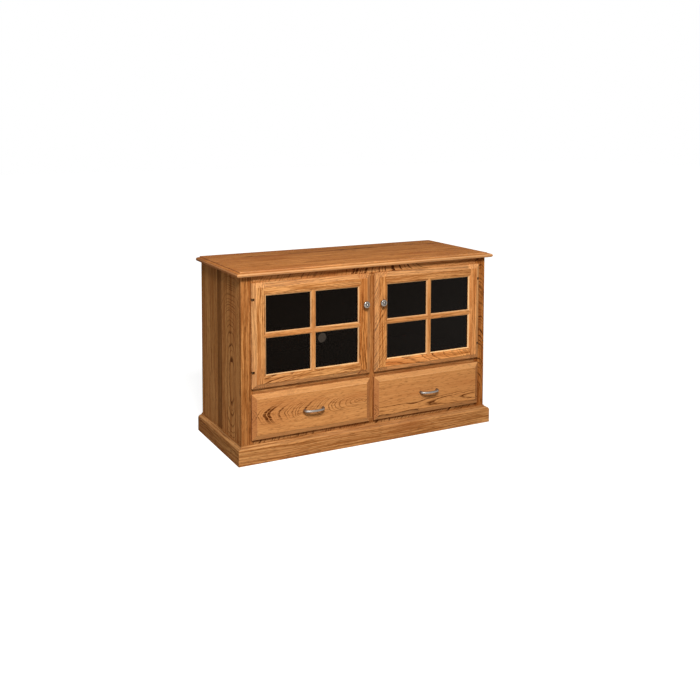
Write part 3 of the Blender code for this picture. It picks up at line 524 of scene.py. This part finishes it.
def plywood(name, low, high):
    """Birch plywood, rotary cut and clear sealed.

    The faces show a pale broad figure and the edges their striped plies.
    """
    tints = bpy.context.scene.cabinet_colours
    material, tree, shader = new_material(f"sealed_birch_plywood_{name}", {
        "Roughness": 0.5, "Specular IOR Level": 0.3,
    })
    place, _ = on_board(tree, low, high)
    figure = add_node(tree, "TexNoise", {
        "Vector": add_node(tree, "Mapping", {
            "Vector": place, "Scale": [1 / length for length in BIRCH_FIGURE],
        }),
        "Scale": 1.0, "Detail": 3.0, "Distortion": 0.6,
    })
    faces = add_node(tree, "Mix", {
        FACTOR: add_node(tree, "MapRange", {
            "Value": figure, "From Min": 0.35, "From Max": 0.7, "To Max": 0.45,
        }),
        FIRST: opaque(tints.birch), SECOND: opaque(tints.birch_core),
    }, BLENDED, data_type="RGBA")

    # Every second ply shows its darker end grain between the two face plies
    out = add_node(tree, "SeparateXYZ", {0: place}, "Z")
    layer = add_node(tree, "Math", {0: out, 1: 2 * PLY}, operation="FLOORED_MODULO")
    crosswise = add_node(tree, "Math", {0: layer, 1: PLY}, operation="LESS_THAN")
    half = (high - low)[board_axes(low, high)[2]] / 2 / MILLIMETRE
    inside = add_node(tree, "Math", {
        0: add_node(tree, "Math", {0: out}, operation="ABSOLUTE"), 1: half - FACE_PLY,
    }, operation="LESS_THAN")
    layered = add_node(tree, "Mix", {
        FACTOR: add_node(tree, "Math", {0: inside, 1: crosswise}, operation="MULTIPLY"),
        FIRST: faces, SECOND: opaque(tints.birch_core, 0.85),
    }, BLENDED, data_type="RGBA")
    grain = add_node(tree, "Bump", {"Strength": 0.12, "Distance": 0.0003, "Height": figure})
    set_inputs(shader, {"Base Color": layered, "Normal": grain})
    return material


def smoked_glass():
    """Float glass, tinted in the melt: nearly black before a dark inside, with clear but dim reflections."""
    tints = bpy.context.scene.cabinet_colours
    material, tree, shader = new_material("smoked_float_glass", {
        "Base Color": opaque(tints.smoke), "Transmission Weight": 1.0, "IOR": 1.5,
        "Specular Tint": opaque(tints.reflection),
    })
    wipe_mm = 80
    haze = add_node(tree, "TexNoise", {
        "Vector": add_node(tree, "TexCoord", output="Object"),
        "Scale": 1 / (wipe_mm * MILLIMETRE), "Detail": 3.0,
    })
    wiped = add_node(tree, "MapRange", {
        "Value": haze, "From Min": 0.4, "From Max": 0.8, "To Min": 0.01, "To Max": 0.06,
    })
    set_inputs(shader, {"Roughness": wiped})
    return material


def metal(name, tint, roughness, grit_mm, wear_and_highlight):
    """Plated or oiled metal, brushed on a wheel whose grit softens the gloss unevenly.

    The grit is drawn several times as coarse as it is, so that it shows.
    """
    colour = getattr(bpy.context.scene.cabinet_colours, tint)
    material, tree, shader = new_material(name, {"Metallic": 1.0})
    place = add_node(tree, "TexCoord", output="Object")
    grit = add_node(tree, "TexNoise", {
        "Vector": place, "Scale": 1 / (grit_mm * MILLIMETRE), "Detail": 2.0,
    })
    rub_mm = 22
    rubbed = add_node(tree, "TexNoise", {
        "Vector": place, "Scale": 1 / (rub_mm * MILLIMETRE), "Detail": 3.0,
    })
    tone = add_node(tree, "Mix", {
        FACTOR: add_node(tree, "MapRange", {"Value": rubbed, "From Min": 0.35, "From Max": 0.7}),
        FIRST: opaque(colour), SECOND: opaque(colour, 1 - wear_and_highlight),
    }, BLENDED, data_type="RGBA")
    unevenness = 0.08
    gloss = add_node(tree, "MapRange", {
        "Value": grit, "To Min": roughness - unevenness, "To Max": roughness + unevenness,
    })
    scratch = add_node(tree, "Bump", {"Strength": 0.08, "Distance": 0.0001, "Height": grit})
    set_inputs(shader, {"Base Color": tone, "Roughness": gloss, "Normal": scratch})
    return material


def moulded_plastic():
    """ABS, injection moulded with a spark-eroded texture: even colour, broken soft gloss.

    The texture is drawn several times as coarse as it is, so that it shows.
    """
    tints = bpy.context.scene.cabinet_colours
    material, tree, shader = new_material("moulded_abs_plastic", {"Roughness": 0.5})
    grain_mm = 1.2
    grain = add_node(tree, "TexNoise", {
        "Vector": add_node(tree, "TexCoord", output="Object"),
        "Scale": 1 / (grain_mm * MILLIMETRE), "Detail": 2.0,
    })
    shade = add_node(tree, "Mix", {
        FACTOR: grain, FIRST: opaque(tints.plastic), SECOND: opaque(tints.plastic, 0.8),
    }, BLENDED, data_type="RGBA")
    texture = add_node(tree, "Bump", {"Strength": 0.2, "Distance": 0.0001, "Height": grain})
    set_inputs(shader, {"Base Color": shade, "Normal": texture})
    return material


def add_piece(name, shape, materials, body, slot, *stands_for):
    """Object for a shape, riding on a body and standing for CAD nodes."""
    bmesh.ops.recalc_face_normals(shape, faces=shape.faces)
    mesh = bpy.data.meshes.new(name)
    shape.to_mesh(mesh)
    shape.free()
    mesh.shade_smooth()
    mesh.set_sharp_from_angle(angle=SMOOTH_ANGLE)
    for material in materials:
        mesh.materials.append(material)
    piece = bpy.data.objects.new(name, mesh)
    bpy.context.scene.collection.objects.link(piece)
    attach(piece, body)
    if stands_for:
        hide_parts(*stands_for)
    return piece


def node_shape(node):
    """Editable copy of a CAD node's mesh, with each flat face whole again."""
    source = frame["nodes"][node].data
    shape = bmesh.new()
    corners = [shape.verts.new(vertex.co) for vertex in source.vertices]
    for polygon in source.polygons:
        shape.faces.new([corners[i] for i in polygon.vertices])
    bmesh.ops.remove_doubles(shape, verts=shape.verts, dist=MERGE_DISTANCE)
    bmesh.ops.dissolve_limit(shape, angle_limit=FLAT_ANGLE, verts=shape.verts, edges=shape.edges)
    return shape


def cut(shape, place, normal):
    """Cut a shape's faces along a plane and keep both sides."""
    geometry = shape.verts[:] + shape.edges[:] + shape.faces[:]
    bmesh.ops.bisect_plane(shape, geom=geometry, plane_co=place, plane_no=normal)


def body_of(node):
    """Body that a CAD node rides on."""
    return frame["nodes"][node]["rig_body"]


def dress_shape(node, shape, materials, easing):
    """Replace a CAD node by an oak shape and round its sharp arrises."""
    piece = add_piece(f"dressed_{node}", shape, materials, body_of(node), "oak", node)
    bevel = piece.modifiers.new("eased arris", "BEVEL")
    bevel.width = easing
    bevel.segments = 2
    bevel.limit_method = "ANGLE"
    bevel.angle_limit = SMOOTH_ANGLE
    bevel.harden_normals = True


def dress_board(node, easing):
    """Replace a CAD board by a copy in oak of its own figure."""
    dress_shape(node, node_shape(node), [oak(node, *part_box(node), figure_of(node))], easing)


def dress_panel(node, easing, boards):
    """Replace a CAD panel by a copy glued up from boards; each has a name and a y where it ends."""
    low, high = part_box(node)
    shape = node_shape(node)
    grain = board_axes(low, high)[0]
    materials = []
    start = low.y
    for name, end in boards:
        board = f"{node}.{name}"
        corners = Vector((low.x, start, low.z)), Vector((high.x, end, high.z))
        materials.append(oak(board, *corners, figure_of(board), grain))
        start = end
    joints = [end for _, end in boards[:-1]]
    for joint in joints:
        cut(shape, joint * BACKWARD, BACKWARD)
    for face in shape.faces:
        middle = face.calc_center_median().y
        face.material_index = sum(middle > joint for joint in joints)
    dress_shape(node, shape, materials, easing)


def hinge_leaves(hand):
    """Nodes of the hinges of one door."""
    return [f"{hand}_{place}_hinge_{leaf}_leaf" for place in ("upper", "lower") for leaf in ("frame", "door")]


def dress_node(node, material):
    """Give a CAD node that is shown as it is a finish of its own."""
    mesh = frame["nodes"][node].data
    mesh.materials.clear()
    mesh.materials.append(material)


def arc():
    """Sines and cosines of a quarter turn."""
    return [(sin(pi / 2 * i / ARC_STEPS), cos(pi / 2 * i / ARC_STEPS)) for i in range(ARC_STEPS + 1)]


def ring(centre, side, up, sides, reach):
    """Points round a centre; reach gives their distance at an angle."""
    angles = [2 * pi * i / sides for i in range(sides)]
    return [centre + reach(a) * (cos(a) * side + sin(a) * up) for a in angles]


def skin(shape, rings):
    """Add a body skinned over rings of equal count, closed at both ends."""
    rows = [[shape.verts.new(point) for point in points] for points in rings]
    for row, following in zip(rows, rows[1:]):
        for i in range(len(row)):
            shape.faces.new((row[i - 1], row[i], following[i], following[i - 1]))
    shape.faces.new(rows[0])
    shape.faces.new(rows[-1])


def turned(shape, seat, facing, profile, sides):
    """Add a body turned about an axis; the profile pairs each radius, or reach, with its height."""
    side = facing.orthogonal().normalized()
    up = facing.cross(side)
    rings = []
    for radius, height in profile:
        reach = radius if callable(radius) else lambda angle, radius=radius: radius
        rings.append(ring(seat + height * facing, side, up, sides, reach))
    skin(shape, rings)


def cross_reach(angle, arm):
    """Distance at an angle to the outline of a cross recess with arms of a length."""
    half_width = arm * RECESS_WIDTH
    turn = (angle + pi / 4) % (pi / 2) - pi / 4
    return arm / cos(turn) if abs(tan(turn)) * arm <= half_width else half_width / abs(sin(turn))


def screw_head(shape, seat, facing, radius, rise):
    """Add a domed screw head with a cross recess."""
    dome = [(radius - (1 - HEAD_FLAT) * radius * (1 - c), rise * s) for s, c in arc()]
    outline = partial(cross_reach, arm=RECESS_ARM * radius)
    recess = [(outline, rise), (outline, RECESS_FLOOR * rise)]
    turned(shape, seat, facing, dome + recess, HEAD_SIDES)


def nail_head(shape, seat, facing, radius, rise):
    """Add a slightly domed nail head."""
    turned(shape, seat, facing, [(radius * c, rise * s) for s, c in arc()[:-1]], HEAD_SIDES)


class CABINET_OT_top(bpy.types.Operator):
    """Dress the moulded top as a panel glued up from boards"""

    bl_idname = "cabinet.top"
    bl_label = "Top"

    def execute(self, context):
        low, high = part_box("top_panel")
        ends = [low.y + (high.y - low.y) * (i + 1) / TOP_BOARDS for i in range(TOP_BOARDS)]
        boards = [(f"board_{i + 1}", end) for i, end in enumerate(ends)]
        dress_panel("top_panel", context.scene.cabinet_sizes.top_easing, boards)
        return {"FINISHED"}


class CABINET_OT_case(bpy.types.Operator):
    """Dress the sides, deck, back and inner panels of the case"""

    bl_idname = "cabinet.case"
    bl_label = "Case panels"

    def execute(self, context):
        sizes = context.scene.cabinet_sizes
        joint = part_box("left_face_stile")[0].y + sizes.side_joint
        for hand in HANDS:
            node = f"{hand}_side_panel"
            boards = [("front", joint), ("strip", joint + sizes.side_strip), ("rear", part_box(node)[1].y)]
            dress_panel(node, sizes.joint_easing, boards)
        dress_board("rear_top_rail", sizes.easing)
        for node, along in (("media_deck", X), ("back_panel", Z)):
            dress_node(node, oak(f"veneer_{node}", *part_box(node), figure_of(node), along))
        for node in ("bottom_panel", "drawer_divider"):
            dress_node(node, plywood(node, *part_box(node)))
        return {"FINISHED"}


class CABINET_OT_face_frame(bpy.types.Operator):
    """Dress the stiles and rails of the face frame"""

    bl_idname = "cabinet.face_frame"
    bl_label = "Face frame"

    def execute(self, context):
        for node in FACE_FRAME:
            dress_board(node, context.scene.cabinet_sizes.joint_easing)
        return {"FINISHED"}


class CABINET_OT_plinth(bpy.types.Operator):
    """Dress the mitred plinth boards"""

    bl_idname = "cabinet.plinth"
    bl_label = "Plinth"

    def execute(self, context):
        for node in PLINTH:
            dress_board(node, context.scene.cabinet_sizes.joint_easing)
        return {"FINISHED"}


class CABINET_OT_grommet(bpy.types.Operator):
    """Dress the lining of the cord hole"""

    bl_idname = "cabinet.grommet"
    bl_label = "Cord grommet"

    def execute(self, context):
        dress_node("cord_grommet", moulded_plastic())
        return {"FINISHED"}


class CABINET_OT_door_frames(bpy.types.Operator):
    """Dress the stiles and rails of both doors"""

    bl_idname = "cabinet.door_frames"
    bl_label = "Door frames"

    def execute(self, context):
        for hand in HANDS:
            for member in DOOR_FRAME:
                dress_board(f"{hand}_door_{member}", context.scene.cabinet_sizes.joint_easing)
        return {"FINISHED"}


class CABINET_OT_glass(bpy.types.Operator):
    """Glaze both doors with smoked panes"""

    bl_idname = "cabinet.glass"
    bl_label = "Door glass"

    def execute(self, context):
        material = smoked_glass()
        for hand in HANDS:
            dress_node(f"{hand}_door_glass", material)
        return {"FINISHED"}


class CABINET_OT_glazing_bars(bpy.types.Operator):
    """Dress the crossed glazing bars, mitred where they meet"""

    bl_idname = "cabinet.glazing_bars"
    bl_label = "Glazing bars"

    def execute(self, context):
        for hand in HANDS:
            node = f"{hand}_door_grille"
            low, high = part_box(node)
            centre = (low + high) / 2
            shape = node_shape(node)
            for slope in (-1, 1):
                cut(shape, centre, (1, 0, slope))
            for face in shape.faces:
                away = face.calc_center_median() - centre
                face.material_index = 0 if abs(away.x) > abs(away.z) else 1
            materials = [
                oak(f"{node}.{name}", low, high, figure_of(f"{node}.{name}"), axis)
                for name, axis in (("level", X), ("upright", Z))
            ]
            dress_shape(node, shape, materials, context.scene.cabinet_sizes.joint_easing)
        return {"FINISHED"}


class CABINET_OT_knobs(bpy.types.Operator):
    """Turn the nickel door knobs, with a ring groove round a domed button"""

    bl_idname = "cabinet.knobs"
    bl_label = "Knobs"

    def execute(self, context):
        material = metal("satin_nickel_plate_knob", "nickel", roughness=0.2, grit_mm=0.6, wear_and_highlight=0.15)
        for hand in HANDS:
            node = f"{hand}_door_knob"
            low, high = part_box(node)
            seat = (low + high) / 2
            seat.y = high.y
            profile = self.profile(context.scene.cabinet_sizes, (high.x - low.x) / 2, high.y - low.y)
            shape = bmesh.new()
            turned(shape, seat, FORWARD, profile, ROUND_SIDES)
            add_piece(f"turned_{node}", shape, [material], body_of(node), "satin_nickel", node)
        return {"FINISHED"}

    def profile(self, sizes, radius, projection):
        """Radii and heights from the foot to the button."""
        swell, rise = radius - sizes.knob_stem, sizes.knob_rim - sizes.knob_neck
        face = sizes.knob_rim + sizes.knob_edge
        floor = face - sizes.knob_groove_depth
        groove = (sizes.knob_groove - sizes.knob_button) / 2
        outline = [
            (sizes.knob_foot, 0.0), (sizes.knob_foot, sizes.knob_foot_height),
            (sizes.knob_stem, sizes.knob_stem_start),
        ]
        outline += [(sizes.knob_stem + swell * s, sizes.knob_rim - rise * c) for s, c in arc()]
        outline += [
            (radius - sizes.knob_edge * (1 - c), sizes.knob_rim + sizes.knob_edge * s) for s, c in arc()[1:]
        ]
        outline += [(sizes.knob_groove - groove * s, face - (face - floor) * s) for s, c in arc()]
        outline += [(sizes.knob_button * c, floor + (projection - floor) * s) for s, c in arc()[:-1]]
        return outline


class CABINET_OT_hinges(bpy.types.Operator):
    """Dress the oiled bronze pivot hinges"""

    bl_idname = "cabinet.hinges"
    bl_label = "Hinges"

    def execute(self, context):
        material = metal("oil_rubbed_bronze", "bronze", roughness=0.45, grit_mm=0.8, wear_and_highlight=0.3)
        for hand in HANDS:
            for node in hinge_leaves(hand):
                dress_node(node, material)
        return {"FINISHED"}


class CABINET_OT_drawer_fronts(bpy.types.Operator):
    """Dress the bevelled drawer fronts"""

    bl_idname = "cabinet.drawer_fronts"
    bl_label = "Drawer fronts"

    def execute(self, context):
        for hand in HANDS:
            dress_board(f"{hand}_drawer_front", context.scene.cabinet_sizes.easing)
        return {"FINISHED"}


class CABINET_OT_drawer_boxes(bpy.types.Operator):
    """Dress the plywood drawer boxes"""

    bl_idname = "cabinet.drawer_boxes"
    bl_label = "Drawer boxes"

    def execute(self, context):
        for hand in HANDS:
            for part in DRAWER_BOX:
                node = f"{hand}_drawer_{part}"
                dress_node(node, plywood(node, *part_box(node)))
        return {"FINISHED"}


class CABINET_OT_pulls(bpy.types.Operator):
    """Cast the bow pulls of the drawers"""

    bl_idname = "cabinet.pulls"
    bl_label = "Pulls"

    def execute(self, context):
        sizes = context.scene.cabinet_sizes
        material = metal("satin_nickel_plate_pull", "nickel", roughness=0.44, grit_mm=0.6, wear_and_highlight=0.15)
        for hand in HANDS:
            node = f"{hand}_drawer_pull"
            low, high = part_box(node)
            middle = (low + high) / 2
            half_span = (high.x - low.x) / 2 - sizes.pull_foot
            height = high.y - low.y - sizes.pull_radius
            shape = bmesh.new()
            skin(shape, self.rings(sizes, Vector((middle.x, high.y, middle.z)), half_span, height))
            add_piece(f"cast_{node}", shape, [material], body_of(node), "satin_nickel", node)
        return {"FINISHED"}

    def rings(self, sizes, seat, half_span, height):
        """Rings along a full arch that swells toward its feet."""
        turns = [pi * i / PULL_STATIONS for i in range(PULL_STATIONS + 1)]
        path = [
            seat + Vector((-half_span * cos(t), -height * max(sin(t), 0.0) ** PULL_FULLNESS, 0.0))
            for t in turns
        ]
        rings = []
        for i, centre in enumerate(path):
            along = path[min(i + 1, PULL_STATIONS)] - path[max(i - 1, 0)]
            if i == 0:
                along = FORWARD
            elif i == PULL_STATIONS:
                along = BACKWARD
            across = along.cross(UPWARD).normalized()
            flare = (1 - sin(turns[i])) ** PULL_FOOT_TAPER
            radius = sizes.pull_radius + (sizes.pull_foot - sizes.pull_radius) * flare
            rings.append(ring(centre, across, UPWARD, ROUND_SIDES, lambda angle: radius))
        return rings


class CABINET_OT_slides(bpy.types.Operator):
    """Dress the zinc-plated steel slides"""

    bl_idname = "cabinet.slides"
    bl_label = "Drawer slides"

    def execute(self, context):
        material = metal("zinc_plated_steel_slide", "zinc", roughness=0.38, grit_mm=1.5, wear_and_highlight=0.2)
        for hand in HANDS:
            for rail in SLIDE_RAILS:
                dress_node(f"{hand}_slide_{rail}_rail", material)
        return {"FINISHED"}


class CABINET_OT_fixings(bpy.types.Operator):
    """Add the hinge screws, the pull screws and the nails that hold the back"""

    bl_idname = "cabinet.fixings"
    bl_label = "Screws and nails"

    def execute(self, context):
        sizes = context.scene.cabinet_sizes
        bronze = metal("oil_rubbed_bronze_screw", "bronze", roughness=0.42, grit_mm=0.8, wear_and_highlight=0.3)
        zinc = metal("zinc_plated_steel_screw", "zinc", roughness=0.35, grit_mm=0.8, wear_and_highlight=0.2)
        steel = metal("bronzed_steel_nail", "bronze", roughness=0.5, grit_mm=0.8, wear_and_highlight=0.3)
        for hand in HANDS:
            inward = Vector((1 if hand == "left" else -1, 0, 0))
            for node in hinge_leaves(hand):
                self.hinge_screws(sizes, node, inward, bronze)
            self.pull_screws(sizes, f"{hand}_drawer", zinc)
        self.nails(sizes, steel)
        return {"FINISHED"}

    def hinge_screws(self, sizes, node, inward, material):
        """Two screws in one leaf of a hinge."""
        low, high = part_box(node)
        seat = (low + high) / 2
        seat.x = high.x if inward.x > 0 else low.x
        if node.endswith("door_leaf"):
            facing = BACKWARD
            seat.x -= inward.x * sizes.hinge_screw_inset
            seat.y = high.y
        else:
            facing = inward
            seat.y = high.y - sizes.hinge_screw_inset
        shape = bmesh.new()
        for step in (-0.5, 0.5):
            place = seat + step * sizes.hinge_screw_spacing * UPWARD
            screw_head(shape, place, facing, sizes.hinge_screw, sizes.hinge_screw_rise)
        add_piece(f"screws_{node}", shape, [material], body_of(node), "dark_bronze")

    def pull_screws(self, sizes, drawer, material):
        """Two screws through a drawer front into the pull's feet."""
        low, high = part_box(f"{drawer}_pull")
        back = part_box(f"{drawer}_front")[1].y
        shape = bmesh.new()
        for x in (low.x + sizes.pull_foot, high.x - sizes.pull_foot):
            seat = Vector((x, back, (low.z + high.z) / 2))
            screw_head(shape, seat, BACKWARD, sizes.pull_screw, sizes.pull_screw_rise)
        add_piece(f"screws_{drawer}_pull", shape, [material], drawer, "zinc_steel")

    def nails(self, sizes, material):
        """Nails round the edge of the back."""
        low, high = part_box("back_panel")
        inset = Vector((sizes.nail_inset, 0, sizes.nail_inset))
        first, last = low + inset, high - inset
        shape = bmesh.new()
        for axis, other in ((X, Z), (Z, X)):
            count = round((last[axis] - first[axis]) / sizes.nail_spacing)
            for i in range(count):
                share = i / count if axis == X else (i + 1) / count
                for edge, step in ((first, share), (last, 1 - share)):
                    place = Vector((0, high.y, 0))
                    place[axis] = first[axis] + (last[axis] - first[axis]) * step
                    place[other] = edge[other]
                    nail_head(shape, place, BACKWARD, sizes.nail, sizes.nail_rise)
        add_piece("nails_back_panel", shape, [material], body_of("back_panel"), "dark_bronze")


class CABINET_OT_stage(bpy.types.Operator):
    """Set the floor, the white room, the lamp and the camera"""

    bl_idname = "cabinet.stage"
    bl_label = "Studio"

    def execute(self, context):
        scene = context.scene
        stage = scene.cabinet_stage
        scene.view_settings.view_transform = "Standard"
        add_room(scene, stage)
        add_floor(scene)
        add_lamp(stage)
        data = bpy.data.cameras.new("camera")
        data.lens = stage.lens
        data.shift_x, data.shift_y = stage.shift
        camera = bpy.data.objects.new("camera", data)
        camera.location = stage.camera_place
        camera.rotation_euler = Euler((pi / 2 - stage.camera_pitch, 0.0, -stage.camera_yaw))
        scene.collection.objects.link(camera)
        scene.camera = camera
        return {"FINISHED"}


def seen_directly(tree):
    """Socket that is 1 for rays from the camera, a mirror or glass, and 0 for light on the cabinet."""
    path = add_node(tree, "LightPath", output=None)
    mirrored = add_node(tree, "Math", {
        0: path["Is Glossy Ray"], 1: path["Is Transmission Ray"],
    }, operation="MAXIMUM")
    return add_node(tree, "Math", {0: path["Is Camera Ray"], 1: mirrored}, operation="MAXIMUM")


def add_room(scene, stage):
    """White room round the cabinet, which gives matt surfaces less light than it shows."""
    world = bpy.data.worlds.new("white_room")
    scene.world = world
    world.use_nodes = True
    tree = world.node_tree
    strength = add_node(tree, "Math", {
        0: seen_directly(tree), 1: 1.0 - stage.ambient, 2: stage.ambient,
    }, operation="MULTIPLY_ADD")
    set_inputs(tree.nodes["Background"], {"Color": WHITE, "Strength": strength})


def add_floor(scene):
    """Pale floor that shows white beyond the cabinet's shadow."""
    half, drop = 20.0, 0.0005
    shape = bmesh.new()
    corners = ((-half, -half), (half, -half), (half, half), (-half, half))
    shape.faces.new([shape.verts.new((x, y, -drop)) for x, y in corners])
    mesh = bpy.data.meshes.new("studio_floor")
    shape.to_mesh(mesh)
    shape.free()
    material, tree, shader = new_material("painted_floor", {
        "Roughness": 0.9, "Specular IOR Level": 0.0, "Emission Color": WHITE,
    })
    tint = scene.cabinet_colours.floor
    place = add_node(tree, "TexCoord", output="Object")
    mottle_mm = 330
    mottle = add_node(tree, "TexNoise", {
        "Vector": place, "Scale": 1 / (mottle_mm * MILLIMETRE), "Detail": 2.0,
    })
    paint = add_node(tree, "Mix", {
        FACTOR: mottle, FIRST: opaque(tint), SECOND: opaque(tint, 0.98),
    }, BLENDED, data_type="RGBA")

    # The glow fills the floor up to white and leaves the shadow near the cabinet
    near, far = 0.8, 3.0
    distance = add_node(tree, "VectorMath", {0: place}, "Value", operation="LENGTH")
    lift = add_node(tree, "MapRange", {
        "Value": distance, "From Min": near, "From Max": far, "To Min": 0.8, "To Max": 1.0,
    }, interpolation_type="SMOOTHSTEP")
    glow = add_node(tree, "Math", {0: lift, 1: seen_directly(tree)}, operation="MULTIPLY")
    set_inputs(shader, {"Base Color": paint, "Emission Strength": glow})
    mesh.materials.append(material)
    floor = bpy.data.objects.new("studio_floor", mesh)
    scene.collection.objects.link(floor)


def add_lamp(stage):
    """Large soft lamp, aimed at the middle of the cabinet."""
    data = bpy.data.lights.new("key_lamp", "AREA")
    data.shape = "RECTANGLE"
    data.size, data.size_y = stage.key_size
    data.energy = stage.key_power
    lamp = bpy.data.objects.new("key_lamp", data)
    lamp.location = stage.key_place
    target = (CAD_BOX[0] + CAD_BOX[1]) / 2
    lamp.rotation_euler = (target - lamp.location).to_track_quat("-Z", "Y").to_euler()
    bpy.context.scene.collection.objects.link(lamp)


OPERATORS = (
    CABINET_OT_top, CABINET_OT_case, CABINET_OT_face_frame, CABINET_OT_plinth, CABINET_OT_grommet,
    CABINET_OT_door_frames, CABINET_OT_glass, CABINET_OT_glazing_bars, CABINET_OT_knobs, CABINET_OT_hinges,
    CABINET_OT_drawer_fronts, CABINET_OT_drawer_boxes, CABINET_OT_pulls, CABINET_OT_slides,
    CABINET_OT_fixings, CABINET_OT_stage,
)
GROUPS = {
    "cabinet_colours": CABINET_PG_colours,
    "cabinet_sizes": CABINET_PG_sizes,
    "cabinet_stage": CABINET_PG_stage,
}


class CABINET_PT_panel(bpy.types.Panel):
    """Lists the steps that dress the cabinet, with their sizes and colours"""

    bl_idname = "CABINET_PT_panel"
    bl_label = "Oak Media Cabinet"
    bl_space_type = "VIEW_3D"
    bl_region_type = "UI"
    bl_category = "Cabinet"

    def draw(self, context):
        for name in GROUPS:
            group = getattr(context.scene, name)
            box = self.layout.box()
            for key in group.__annotations__:
                box.prop(group, key)
        for operator in OPERATORS:
            self.layout.operator(operator.bl_idname)


def register():
    """Add the classes and the scene's settings."""
    for name, group in GROUPS.items():
        bpy.utils.register_class(group)
        setattr(bpy.types.Scene, name, bpy.props.PointerProperty(type=group))
    for operator in OPERATORS:
        bpy.utils.register_class(operator)
    bpy.utils.register_class(CABINET_PT_panel)


def unregister():
    """Remove the classes and the scene's settings."""
    bpy.utils.unregister_class(CABINET_PT_panel)
    for operator in reversed(OPERATORS):
        bpy.utils.unregister_class(operator)
    for name, group in reversed(GROUPS.items()):
        delattr(bpy.types.Scene, name)
        bpy.utils.unregister_class(group)


def main():
    """Dress the cabinet piece by piece."""
    register()
    for operator in OPERATORS:
        group, name = operator.bl_idname.split(".")
        getattr(getattr(bpy.ops, group), name)()


if __name__ == "__main__":
    main()
